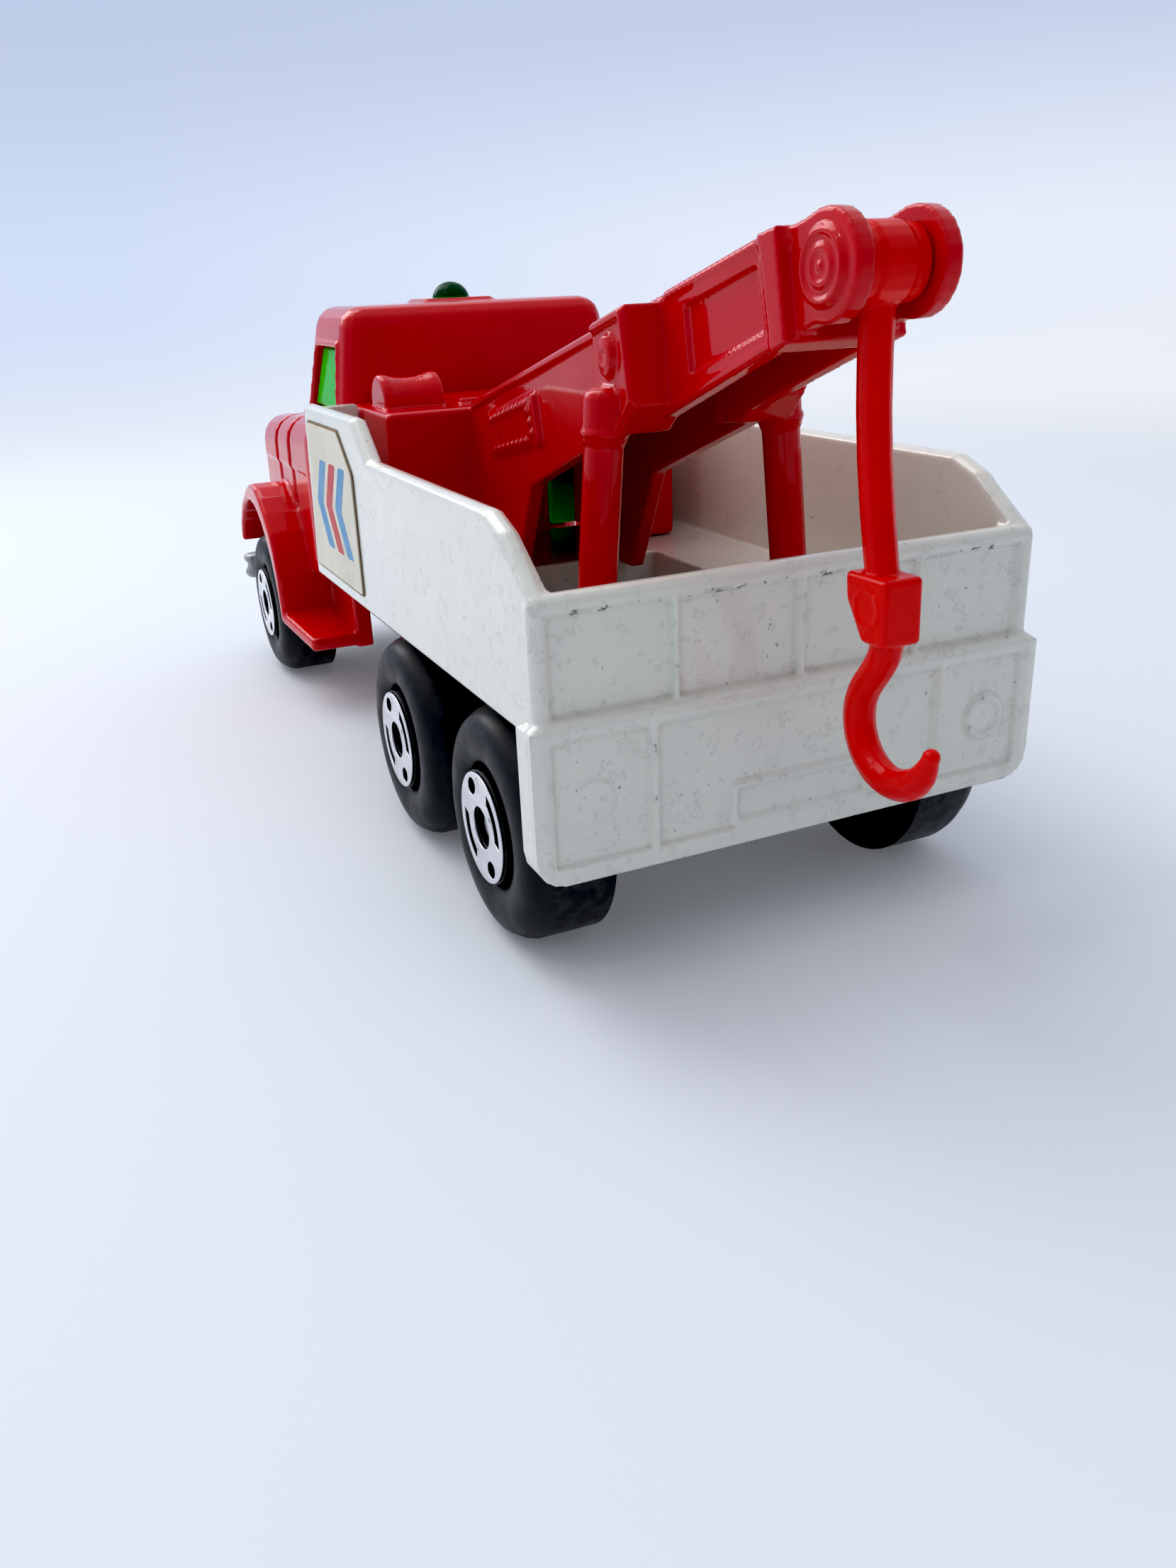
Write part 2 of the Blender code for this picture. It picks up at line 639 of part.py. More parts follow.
def cab_rooms():
    """The hollows of the cab casting: cab, bonnet, sill, wheel arches and openings."""
    under = 2.0
    cuts = [
        box("cab_room", (CAB_REAR + 0.95, -ROOF_HALF - 0.15, 11.8),
            (SCREEN_FOOT - 1.05, ROOF_HALF + 0.15, BELT_Z - 0.4)),
        tapered_box("head_room", (CAB_REAR + 1, SCREEN_FOOT - 1.1, ROOF_HALF + 0.1, BELT_Z - 0.5),
                    (CAB_REAR + 1, SCREEN_HEAD - 1.0, ROOF_HALF - CAB_WALL, ROOF_Z - CAB_WALL)),
        box("bonnet_room", (53.2, -8.7, under), (BONNET_FRONT - 1.1, 8.7, 18.4)),
        box("sill_room", (SILL_REAR + 1, 1 - SILL_HALF, under), (54, SILL_HALF - 1, 18.2)),
        box("sill_gap", (SILL_REAR - 2, -SILL_GAP, under), (SILL_REAR + 2, SILL_GAP, 12.1)),
        box("rear_opening", (CAB_REAR - 2, -7.2, 11), (CAB_REAR + 2, 7.2, 21.0)),
        rod("beacon_hole", (BEACON_X, 0, 26), (BEACON_X, 0, 30), BEACON_R + 0.1, 20),
    ]
    cuts += window_blocks("opening", 0, 2)
    for side in (1, -1):
        low, high = span(side, 7.9, 15)
        centre = (AXLE_X["front"], WHEEL_R)
        cuts.append(slab(f"arch_{side}", [arc(centre, ARCH_R, 0, 348.75, 31, ARCH_HEIGHT)], low, high))
    return cuts


def cab_casting():
    """The red cab, bonnet, fenders and running boards, hollow below, with the front post."""
    cab, lower = cab_lower()
    cab.name = "cab_casting"
    upper = tapered_box("cab_upper", (CAB_REAR, SCREEN_FOOT, BELT_HALF, BELT_Z - 1.0),
                        (CAB_REAR + 0.3, SCREEN_HEAD, ROOF_HALF, ROOF_Z), 1.2, 3)
    roof_plate = box("roof_plate", (41.9, -2.5, ROOF_Z - 1), (45.7, 2.5, ROOF_Z + 0.22), 0.15, 1)
    unite(cab, [upper, roof_plate] + lower + both_sides(fender))
    carve(cab, cab_rooms())
    unite(cab, rivet_post("front", BONNET_TOP - 0.7))
    return coat(cab, RED)


def window_insert():
    """The clear green moulding inside the cab, with two rear legs and the beacon through the roof."""
    gap = 0.1
    wall = 0.8
    rear = CAB_REAR + 1 + gap
    foot = (rear, SCREEN_FOOT - 1.1 - gap, ROOF_HALF, BELT_Z - 0.5)
    head = (rear, SCREEN_HEAD - 1.0 - gap, ROOF_HALF - 1.1, ROOF_Z - CAB_WALL - gap)
    glass = tapered_box("window_insert", foot, head)
    dome = arc((0, BEACON_TOP - 1.2), BEACON_R, 90, 0, 5, 1.2 / BEACON_R)
    beacon = turned("beacon", dome + [(BEACON_R, 26.5), (0, 26.5)], 20, (BEACON_X, 0, 0), closed=False)
    unite(glass, [beacon] + window_blocks("pane", 0.1, -0.3))
    room = tapered_box("glass_room", (rear + wall, foot[1] - wall, foot[2] - wall, BELT_Z - 2),
                       (rear + wall, head[1] - wall, head[2] - wall, head[3] - wall))
    carve(glass, [room])
    unite(glass, both_sides(lambda side: side_box(
        "glass_leg", side, (rear, 4.8, 13.2), (rear + wall, 6.6, 24))))
    return coat(glass, GREEN)


# ---------------------------------------------------------------- base


def bumper():
    """The front bumper, a bar with swept ends, and the grooves along its face and round its ends."""
    left = [(66.6, 7), (65.9, 11.6), (66.2, 12.75), (67.4, 12.85), (BUMPER_FRONT, 8)]
    right = [(x, -y) for x, y in reversed(left)]
    bar = slab("bumper", [left + right], BUMPER_BOTTOM, BUMPER_TOP, PLAN_VIEW, 0.2, 1)
    low, high = BUMPER_BOTTOM + 0.65, BUMPER_TOP - 0.65
    grooves = both_sides(lambda side: side_box("bumper_end", side, (65, 12.55, low), (70, 13.5, high)))
    return bar, grooves + [box("bumper_groove", (68.3, -8.5, low), (70, 8.5, high))]


def grille():
    """The grille panel between two round headlamps."""
    panel = box("grille_panel", (BONNET_FRONT + 0.25, -8.8, 8.4), (66.6, 8.8, 17.6), 0.25, 1)
    lamps = both_sides(lambda side: rod(
        f"headlamp_{side}", (66.0, side * 6.9, 12.6), (67.5, side * 6.9, 12.6), 1.55, 20, 1.3))
    slots = [box(f"grille_slot_{row}", (66.2, -4.9, 9.6 + 1.3 * row), (68, 4.9, 10.2 + 1.3 * row))
             for row in range(6)]
    return [panel] + lamps, slots


def chassis_base():
    """The bare metal base: bottom plate, notched side rails, cross-member, bumper, grille and lamps."""
    base = box("chassis_base", (BASE_REAR, -BASE_HALF, BASE_BOTTOM), (WAIST_REAR, BASE_HALF, BASE_TOP))
    waist = box("waist", (WAIST_REAR - 1, -WAIST_HALF, BASE_BOTTOM), (64.0, WAIST_HALF, BASE_TOP))
    rails = [waist]
    rails += both_sides(lambda side: side_box(
        "rear_rail", side, (BASE_REAR, BASE_HALF - 1, BASE_TOP - 0.3), (WAIST_REAR, BASE_HALF, RAIL_TOP)))
    rails += both_sides(lambda side: side_box(
        "corner", side, (WAIST_REAR - 1, WAIST_HALF - 1, BASE_TOP - 0.3),
        (WAIST_REAR, BASE_HALF - 0.5, RAIL_TOP)))
    rails += both_sides(lambda side: side_box(
        "front_rail", side, (WAIST_REAR - 0.5, WAIST_HALF - 1, BASE_TOP - 0.3), (63.5, WAIST_HALF, RAIL_TOP)))
    cross = box("strut_rest", (9.3, 0.8 - BASE_HALF, BASE_TOP - 0.3), (11.0, BASE_HALF - 0.8, RAIL_TOP))
    nose = box("nose", (63.0, -6.0, BASE_BOTTOM), (67.2, 6.0, 9.0))
    bar, grooves = bumper()
    face, slots = grille()
    unite(base, rails + [cross, nose, bar] + face)
    slots += [box(f"axle_slot_{end}", (x - AXLE_R - 0.2, -9, WHEEL_R - AXLE_R - 0.12),
                  (x + AXLE_R + 0.2, 9, WHEEL_R + AXLE_R + 0.12)) for end, x in AXLE_X.items()]
    holes = [rod(f"post_hole_{end}", (x, 0, 2), (x, 0, 6), POST_R + 0.08) for end, x in POST_X.items()]
    holes += [rod(f"head_recess_{end}", (x, 0, 2), (x, 0, BASE_BOTTOM + HEAD_SINK), POST_HEAD_R + 0.08, 20)
              for end, x in POST_X.items()]
    carve(base, grooves + slots + holes)
    return coat(base, GREY)


# ---------------------------------------------------------------- running gear


def axle(end, x):
    """A steel axle with peened ends in the hubs' recesses."""
    reach = HUB_WELL + SEAT
    profile = [(0, reach + 0.3), (0.55, reach + 0.25), (0.85, reach), (AXLE_R, reach), (AXLE_R, -reach),
               (0.85, -reach), (0.55, -reach - 0.25), (0, -reach - 0.3)]
    return coat(turned(f"axle_{end}", profile, 12, (x, 0, WHEEL_R), (90, 0, 0), closed=False), STEEL)


def wheel_profile():
    """Half the section of a wheel: hub with a recess, narrow groove, rounded tyre, hollow back."""
    middle = WHEEL_MIDDLE
    outer = [(AXLE_R + 0.1, HUB_WELL), (HUB_WELL_R, HUB_WELL), (HUB_WELL_R, HUB_FACE), (HUB_R, HUB_FACE),
             (HUB_R, 11.7), (3.05, 11.7), (3.05, 12.3), (3.4, 12.6), (4.2, 12.72), (4.9, 12.5), (5.45, 12.1)]
    tread = [(WHEEL_R, 11.5), (WHEEL_R, 9.2), (5.35, 8.55)]
    inner = [(4.0, 8.5), (3.6, 9.6), (1.6, 9.6), (1.5, HUB_INNER), (AXLE_R + 0.1, HUB_INNER)]
    return [(radius, y - middle) for radius, y in outer + tread + inner]


def wheel(end, x, side):
    """A black plastic wheel, its origin on the axle's line."""
    name = f"wheel_{end}_{'left' if side > 0 else 'right'}"
    spot = (x, side * WHEEL_MIDDLE, WHEEL_R)
    return coat(turned(name, wheel_profile(), WHEEL_STEPS, spot, (-90 * side, 0, 0)), BLACK)


def long_opening(middle):
    """The outline of a long, arc-shaped opening in the hub's face, about an angle in degrees."""
    reach = 36
    outer = arc((0, 0), 2.3, middle - reach, middle + reach, 6)
    inner = arc((0, 0), 1.75, middle + reach * 0.86, middle - reach * 0.86, 6)
    return outer + inner


def round_opening(middle):
    """The outline of a round opening in the hub's face, about an angle in degrees."""
    angle = math.radians(middle)
    return arc((OPENING_R * math.cos(angle), OPENING_R * math.sin(angle)), 0.42, 0, 315, 7)


def hub_foil(end, x, side):
    """The silver face on a hub, with four openings round its centre hole."""
    name = f"hub_foil_{end}_{'left' if side > 0 else 'right'}"
    outlines = [arc((0, 0), HUB_R - 0.05, 0, 345, 23), arc((0, 0), HUB_WELL_R + 0.05, 0, 330, 11),
                long_opening(HUB_TURN), long_opening(HUB_TURN + 180),
                round_opening(HUB_TURN + 90), round_opening(HUB_TURN + 270)]
    low, high = span(side, HUB_FACE + 0.04, HUB_FACE + 0.04 + FOIL)
    foil = slab(name, outlines, low, high)
    foil.location.x, foil.location.z = x * MM, WHEEL_R * MM
    return coat(foil, SILVER)


def label(side):
    """The paper label on the tall front part of a side panel."""
    outline = [(35.6, 22.1), (28.4, 22.1), (25.9, 19.9), (26.1, 12.95), (37.2, 12.95)]
    low, high = span(side, BED_SIDE + 0.04, BED_SIDE + 0.14)
    return coat(slab(f"label_{'left' if side > 0 else 'right'}", [outline], low, high), PAPER)


def build():
    """Model every piece."""
    truck_bed()
    crane_casting()
    tow_hook()
    cab_casting()
    window_insert()
    chassis_base()
    for end, x in AXLE_X.items():
        axle(end, x)
        for side in (1, -1):
            wheel(end, x, side)
            hub_foil(end, x, side)
    both_sides(label)


build()
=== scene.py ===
import json
import math

import bmesh
import bpy
from mathutils import Matrix, Vector


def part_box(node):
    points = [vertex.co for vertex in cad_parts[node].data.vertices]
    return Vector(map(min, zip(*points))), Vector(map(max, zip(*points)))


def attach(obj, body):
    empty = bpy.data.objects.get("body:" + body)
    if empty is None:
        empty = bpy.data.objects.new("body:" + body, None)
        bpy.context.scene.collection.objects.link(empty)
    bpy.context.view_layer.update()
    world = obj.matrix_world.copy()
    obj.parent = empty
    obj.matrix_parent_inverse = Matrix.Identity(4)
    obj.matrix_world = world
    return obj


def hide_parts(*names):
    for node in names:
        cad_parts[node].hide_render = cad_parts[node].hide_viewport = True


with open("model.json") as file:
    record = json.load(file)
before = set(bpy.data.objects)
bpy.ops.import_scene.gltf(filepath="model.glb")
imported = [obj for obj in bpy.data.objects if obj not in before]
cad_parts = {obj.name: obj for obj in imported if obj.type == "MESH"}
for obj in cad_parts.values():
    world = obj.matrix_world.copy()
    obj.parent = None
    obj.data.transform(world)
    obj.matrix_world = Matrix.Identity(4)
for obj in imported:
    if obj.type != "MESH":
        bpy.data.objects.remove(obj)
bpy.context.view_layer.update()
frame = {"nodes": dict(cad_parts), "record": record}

# Lengths are millimetres unless a name ends in _M. Places are given as x ahead of the tailgate's rear
# face, y to the left of the truck's middle plane and z above the ground, and at() makes metres of them.
MM = 0.001
REAR_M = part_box("truck_bed")[0].x
JOINTS = {joint["name"]: joint for joint in frame["record"]["behaviour"]["joints"]}
PIVOT = Vector(JOINTS["hook_swing"]["pos_m"])
ENDS = ("rear", "middle", "front")
SIDES = {"left": 1, "right": -1}

# Grain of the skins that cast() makes: coarse for the cab and base, finer for small detail.
CAST_VOXEL = 0.14
FINE_VOXEL = 0.11
HOOK_VOXEL = 0.075

BEACON_FOOT = 28.4      # where the beacon leaves the roof
BASE_UNDERSIDE = 3.32
HUB_TURN = -28          # degrees that the hubs' long openings stand at, at rest
HUB_R = 2.8
HUB_FACE = 12.72        # how far out the hubs' front faces are
HUB_BACK = 7.45
AXLE_HOLE_R = 0.65
TYRE_R = 5.72
OPENINGS_R = 2.05       # from the hub's centre to the middle of its two small openings


def at(x, y, z):
    """A place in metres in the frame."""
    return Vector((REAR_M + x * MM, y * MM, z * MM))


# ---------------------------------------------------------------- shapes


def from_node(node):
    """A welded copy of a CAD node's mesh."""
    shape = bmesh.new()
    shape.from_mesh(frame["nodes"][node].data)
    bmesh.ops.remove_doubles(shape, verts=shape.verts, dist=0.0005 * MM)
    return shape


def add_block(shape, low, high):
    """Add a box between two corners."""
    low, high = at(*low), at(*high)
    size = Matrix.Diagonal((*(high - low), 1))
    bmesh.ops.create_cube(shape, size=1, matrix=Matrix.Translation((low + high) / 2) @ size)


def add_ball(shape, centre, radius, detail=2):
    """Add a ball."""
    bmesh.ops.create_icosphere(shape, subdivisions=detail, radius=radius * MM,
                               matrix=Matrix.Translation(at(*centre)))


def add_bar(shape, start, end, radius, sides=24):
    """Add a round bar between two places."""
    start, end = at(*start), at(*end)
    along = end - start
    aim = along.to_track_quat("Z", "Y").to_matrix().to_4x4()
    bmesh.ops.create_cone(shape, cap_ends=True, segments=sides, radius1=radius * MM,
                          radius2=radius * MM, depth=along.length,
                          matrix=Matrix.Translation((start + end) / 2) @ aim)


def add_ring(shape, centre, axis, radius, thickness, steps=48):
    """Add a ring of round section, lying square to an axis."""
    piece = bmesh.new()
    stand = Matrix.Translation((radius * MM, 0, 0)) @ Matrix.Rotation(math.pi / 2, 4, "X")
    bmesh.ops.create_circle(piece, segments=12, radius=thickness * MM, matrix=stand)
    bmesh.ops.spin(piece, geom=piece.verts[:] + piece.edges[:], cent=(0, 0, 0), axis=(0, 0, 1),
                   angle=2 * math.pi, steps=steps, use_merge=True)
    bmesh.ops.recalc_face_normals(piece, faces=piece.faces)
    aim = Vector(axis).to_track_quat("Z", "Y").to_matrix().to_4x4()
    merge(shape, piece, Matrix.Translation(at(*centre)) @ aim)


def add_bead(shape, points, radius):
    """Add a round bead along a path, with round ends and corners."""
    for point in points:
        add_ball(shape, point, radius)
    for start, end in zip(points, points[1:]):
        add_bar(shape, start, end, radius, 12)


def merge(shape, piece, move=Matrix()):
    """Add one bmesh to another."""
    mesh = bpy.data.meshes.new("part")
    piece.transform(move)
    piece.to_mesh(mesh)
    piece.free()
    shape.from_mesh(mesh)
    bpy.data.meshes.remove(mesh)


def as_object(name, shape):
    """Put a bmesh in the scene as an object."""
    mesh = bpy.data.meshes.new(name)
    shape.to_mesh(mesh)
    shape.free()
    thing = bpy.data.objects.new(name, mesh)
    bpy.context.scene.collection.objects.link(thing)
    return thing


def apply_modifiers(thing):
    """Replace an object's mesh by the one that its modifiers make."""
    graph = bpy.context.evaluated_depsgraph_get()
    mesh = bpy.data.meshes.new_from_object(thing.evaluated_get(graph))
    thing.modifiers.clear()
    thing.data = mesh
    mesh.shade_smooth()
    return thing


def carve(shape, cutter):
    """Cut one closed bmesh out of another."""
    target, tool = as_object("target", shape), as_object("tool", cutter)
    cut = target.modifiers.new("cut", "BOOLEAN")
    cut.operation = "DIFFERENCE"
    cut.solver = "EXACT"
    cut.use_self = True
    cut.object = tool
    apply_modifiers(target)
    carved = bmesh.new()
    carved.from_mesh(target.data)
    for thing in (target, tool):
        bpy.data.objects.remove(thing)
    return carved


def cast(name, shape, voxel, passes):
    """Fuse overlapping closed shapes into one skin with the soft edges of a painted casting."""
    thing = as_object(name, shape)
    fuse = thing.modifiers.new("fuse", "REMESH")
    fuse.mode = "VOXEL"
    fuse.voxel_size = voxel * MM
    soften = thing.modifiers.new("soften", "SMOOTH")
    soften.factor = 0.5
    soften.iterations = passes
    return apply_modifiers(thing)


def flat_plate(name, outlines, low, high, bevel=0.0):
    """A plate from low to high along Y, with outlines of (x, z) points; the first is the outer one."""
    curve = bpy.data.curves.new(name, "CURVE")
    curve.dimensions = "2D"
    curve.fill_mode = "BOTH"
    curve.extrude = ((high - low) / 2 - bevel) * MM
    curve.bevel_depth = bevel * MM
    curve.bevel_resolution = 2
    curve.offset = -bevel * MM
    for outline in outlines:
        spline = curve.splines.new("POLY")
        spline.points.add(len(outline) - 1)
        for point, (across, up) in zip(spline.points, outline):
            point.co = (across * MM, up * MM, 0, 1)
        spline.use_cyclic_u = True
    thing = bpy.data.objects.new(name, curve)
    bpy.context.scene.collection.objects.link(thing)
    graph = bpy.context.evaluated_depsgraph_get()
    mesh = bpy.data.meshes.new_from_object(thing.evaluated_get(graph))
    bpy.data.objects.remove(thing)
    shape = bmesh.new()
    shape.from_mesh(mesh)
    bmesh.ops.remove_doubles(shape, verts=shape.verts, dist=0.001 * MM)
    bmesh.ops.recalc_face_normals(shape, faces=shape.faces)
    place = Matrix.Translation((REAR_M, (low + high) / 2 * MM, 0)) @ Matrix.Rotation(math.pi / 2, 4, "X")
    shape.transform(place)
    return shape


def arc(centre, radius, start, end, steps):
    """Points on an arc between two angles in degrees."""
    points = []
    for step in range(steps + 1):
        angle = math.radians(start + (end - start) * step / steps)
        points.append((centre[0] + radius * math.cos(angle), centre[1] + radius * math.sin(angle)))
    return points


def rounded(points, radius, steps=4, closed=True):
    """A flat outline with its corners rounded."""
    made = []
    count = len(points)
    for index, corner in enumerate(points):
        if not closed and index in (0, count - 1):
            made.append(corner)
            continue
        here = Vector(corner)
        before, after = Vector(points[index - 1]) - here, Vector(points[(index + 1) % count]) - here
        reach = min(radius, before.length * 0.45, after.length * 0.45)
        first, last = here + before.normalized() * reach, here + after.normalized() * reach
        for step in range(steps + 1):
            t = step / steps
            made.append(tuple((1 - t) ** 2 * first + 2 * t * (1 - t) * here + t ** 2 * last))
    return made


def lathe(profile, steps):
    """A solid turned about the Y axis from a closed outline of (radius, y) points."""
    shape = bmesh.new()
    verts = [shape.verts.new((radius * MM, y * MM, 0)) for radius, y in profile]
    edges = [shape.edges.new((first, second)) for first, second in zip(verts, verts[1:] + verts[:1])]
    bmesh.ops.spin(shape, geom=verts + edges, cent=(0, 0, 0), axis=(0, 1, 0), angle=2 * math.pi,
                   steps=steps, use_merge=True)
    bmesh.ops.remove_doubles(shape, verts=shape.verts, dist=0.001 * MM)
    bmesh.ops.recalc_face_normals(shape, faces=shape.faces)
    return shape


# ---------------------------------------------------------------- materials


def map_range(tree, value, low, high, to_low=0.0, to_high=1.0, blend="LINEAR"):
    """Map low..high to to_low..to_high in a node tree, and clamp."""
    node = tree.nodes.new("ShaderNodeMapRange")
    node.interpolation_type = blend
    tree.links.new(value, node.inputs["Value"])
    for key, number in (("From Min", low), ("From Max", high), ("To Min", to_low), ("To Max", to_high)):
        node.inputs[key].default_value = number
    return node.outputs["Result"]


class Paint:
    """A material under construction: a Principled shader and the nodes that feed it."""

    def __init__(self, name, colour, roughness, metallic=0.0, **values):
        self.material = bpy.data.materials.new(name)
        self.material.use_nodes = True
        self.tree = self.material.node_tree
        self.shader = self.tree.nodes["Principled BSDF"]
        self.place = self.tree.nodes.new("ShaderNodeTexCoord").outputs["Object"]
        self.colour = (*colour, 1.0)
        self.set("Base Color", self.colour)
        self.set("Roughness", roughness)
        self.set("Metallic", metallic)
        for key, value in values.items():
            self.set(key.replace("_", " ").title().replace("Ior", "IOR"), value)

    def set(self, socket, value):
        """Set one of the shader's own values."""
        self.shader.inputs[socket].default_value = value

    def link(self, output, target):
        """Join two sockets."""
        self.tree.links.new(output, target)

    def noise(self, size, detail=3.0, roughness=0.5, stretch=(1, 1, 1)):
        """Noise whose spots are about size millimetres wide."""
        node = self.tree.nodes.new("ShaderNodeTexNoise")
        node.inputs["Scale"].default_value = 1 / (size * MM)
        node.inputs["Detail"].default_value = detail
        node.inputs["Roughness"].default_value = roughness
        if stretch != (1, 1, 1):
            squeeze = self.tree.nodes.new("ShaderNodeMapping")
            squeeze.inputs["Scale"].default_value = stretch
            self.link(self.place, squeeze.inputs["Vector"])
            self.link(squeeze.outputs["Vector"], node.inputs["Vector"])
        else:
            self.link(self.place, node.inputs["Vector"])
        return node.outputs["Fac"]

    def specks(self, size, randomness=1.0):
        """Distance from scattered points about size millimetres apart."""
        node = self.tree.nodes.new("ShaderNodeTexVoronoi")
        node.inputs["Scale"].default_value = 1 / (size * MM)
        node.inputs["Randomness"].default_value = randomness
        self.link(self.place, node.inputs["Vector"])
        return node.outputs["Distance"]

    def edges(self, low, high):
        """0 on flats, 1 on outer edges, or the reverse for hollows if low is above high."""
        geometry = self.tree.nodes.new("ShaderNodeNewGeometry")
        return self.span(geometry.outputs["Pointiness"], low, high)

    def above(self, height, blend):
        """0 below a height in millimetres, 1 above it, blending over a few tenths."""
        axes = self.tree.nodes.new("ShaderNodeSeparateXYZ")
        self.link(self.place, axes.inputs[0])
        return self.span(axes.outputs["Z"], height * MM, (height + blend) * MM)

    def span(self, value, low, high, to_low=0.0, to_high=1.0):
        """Map low..high to to_low..to_high, and clamp."""
        return map_range(self.tree, value, low, high, to_low, to_high)

    def maths(self, operation, first, second):
        """A maths node; either input may be a number."""
        node = self.tree.nodes.new("ShaderNodeMath")
        node.operation = operation
        for socket, value in zip(node.inputs, (first, second)):
            if isinstance(value, (int, float)):
                socket.default_value = value
            else:
                self.link(value, socket)
        return node.outputs[0]

    def times(self, *values):
        """The product of several values."""
        product = values[0]
        for value in values[1:]:
            product = self.maths("MULTIPLY", product, value)
        return product

    def tint(self, amount, colour):
        """Lay a colour over what the base colour has so far, where amount is 1."""
        node = self.tree.nodes.new("ShaderNodeMix")
        node.data_type = "RGBA"
        socket = self.shader.inputs["Base Color"]
        if socket.is_linked:
            self.link(socket.links[0].from_socket, node.inputs["A"])
        else:
            node.inputs["A"].default_value = self.colour
        node.inputs["B"].default_value = (*colour, 1.0)
        self.link(amount, node.inputs["Factor"])
        self.link(node.outputs["Result"], socket)

    def rough(self, value, low, high):
        """Vary the roughness between two values."""
        self.link(self.span(value, 0.3, 0.7, low, high), self.shader.inputs["Roughness"])

    def bump(self, height, depth):
        """Add relief about depth millimetres high, over any relief already there."""
        node = self.tree.nodes.new("ShaderNodeBump")
        node.inputs["Strength"].default_value = 1.0
        node.inputs["Distance"].default_value = depth * MM
        self.link(height, node.inputs["Height"])
        socket = self.shader.inputs["Normal"]
        if socket.is_linked:
            self.link(socket.links[0].from_socket, node.inputs["Normal"])
        self.link(node.outputs["Normal"], socket)


def red_enamel():
    """Deep gloss red over zinc: slightly uneven in depth, a few pin holes, rubbed darker at edges, painted
    shade in hollows.
    """
    paint = Paint("red_enamel", (0.60, 0.0015, 0.006), 0.3, specular_ior_level=0.12, coat_weight=0.85,
                  coat_roughness=0.03, coat_ior=1.4)
    paint.tint(paint.span(paint.noise(5.0), 0.35, 0.7), (0.68, 0.003, 0.009))
    # painted shade: a darker red laid in the hollows, where shade falls
    paint.tint(paint.edges(0.47, 0.40), (0.34, 0.0, 0.003))
    pits = paint.span(paint.specks(1.6), 0.07, 0.03)
    here = paint.span(paint.noise(2.4), 0.56, 0.62)
    paint.tint(paint.times(pits, here), (0.09, 0.0, 0.002))
    worn = paint.times(paint.edges(0.56, 0.62), paint.span(paint.noise(0.9, 5.0, 0.7), 0.62, 0.66))
    paint.tint(worn, (0.13, 0.02, 0.02))
    paint.rough(paint.noise(3.0, 4.0), 0.24, 0.36)
    paint.bump(paint.noise(1.1, 2.0), 0.02)
    paint.bump(paint.noise(0.25, 2.0), 0.003)
    return paint.material


def white_enamel():
    """Thick warm white gloss: cream and painted shade where it pooled, chipped to grey metal on its rims,
    with specks.
    """
    paint = Paint("white_enamel", (0.80, 0.80, 0.70), 0.3, coat_weight=0.9, coat_roughness=0.08)
    paint.tint(paint.span(paint.noise(6.0, 4.0), 0.35, 0.7), (0.76, 0.765, 0.68))
    # cream where the enamel pooled in the hollows; its darkening there is painted shade
    paint.tint(paint.times(paint.edges(0.485, 0.44), 0.75), (0.62, 0.58, 0.47))
    # painted shade: brownish grey in the deepest hollows, where shade falls
    paint.tint(paint.times(paint.edges(0.44, 0.38), 0.6), (0.40, 0.37, 0.30))
    edge = paint.edges(0.525, 0.56)
    chips = paint.span(paint.noise(0.8, 6.0, 0.75), 0.58, 0.61)
    paint.tint(paint.times(edge, chips), (0.10, 0.095, 0.09))
    rubbed = paint.span(paint.noise(1.5, 3.0), 0.5, 0.62)
    paint.tint(paint.times(edge, rubbed, 0.35), (0.45, 0.43, 0.38))
    dots = paint.times(paint.span(paint.specks(1.9), 0.05, 0.02), paint.span(paint.noise(3.1), 0.57, 0.62))
    paint.tint(paint.times(dots, 0.8), (0.22, 0.2, 0.17))
    hairs = paint.span(paint.noise(0.35, 1.0, 0.5, (0.22, 1.0, 1.0)), 0.765, 0.78)
    paint.tint(paint.times(hairs, 0.7), (0.35, 0.33, 0.30))
    paint.rough(paint.noise(2.5, 4.0), 0.26, 0.42)
    paint.bump(paint.noise(1.3, 2.0), 0.025)
    paint.bump(paint.span(chips, 0, 1, 1, 0), 0.01)
    return paint.material


def green_plastic():
    """Clear bright green, glossy, with faint flow ripples; darker where the beacon is thick."""
    paint = Paint("green_plastic", (0.0, 0.85, 0.01), 0.06, ior=1.3, transmission_weight=0.4,
                  specular_ior_level=0.15)
    paint.tint(paint.span(paint.noise(4.0), 0.4, 0.7), (0.0, 0.76, 0.01))
    paint.tint(paint.above(BEACON_FOOT, 0.3), (0.0, 0.09, 0.025))
    paint.rough(paint.noise(1.5, 4.0), 0.04, 0.16)
    paint.bump(paint.noise(2.0, 2.0), 0.02)
    return paint.material


def orange_plastic():
    """Orange-red plastic, semi-gloss and faintly translucent, scuffed on its edges, with painted shade in
    its hollows.
    """
    paint = Paint("orange_red_plastic", (0.72, 0.003, 0.002), 0.3, specular_ior_level=0.22,
                  subsurface_weight=0.2, subsurface_scale=0.0008, coat_weight=0.15, coat_roughness=0.12)
    paint.tint(paint.span(paint.noise(3.5), 0.35, 0.7), (0.80, 0.006, 0.003))
    paint.tint(paint.times(paint.edges(0.54, 0.60), 0.4), (0.95, 0.07, 0.04))
    # painted shade: a darker red in the hollows, where shade falls
    paint.tint(paint.edges(0.46, 0.40), (0.50, 0.004, 0.003))
    paint.rough(paint.noise(0.8, 5.0), 0.22, 0.40)
    paint.bump(paint.noise(0.5, 3.0), 0.01)
    return paint.material


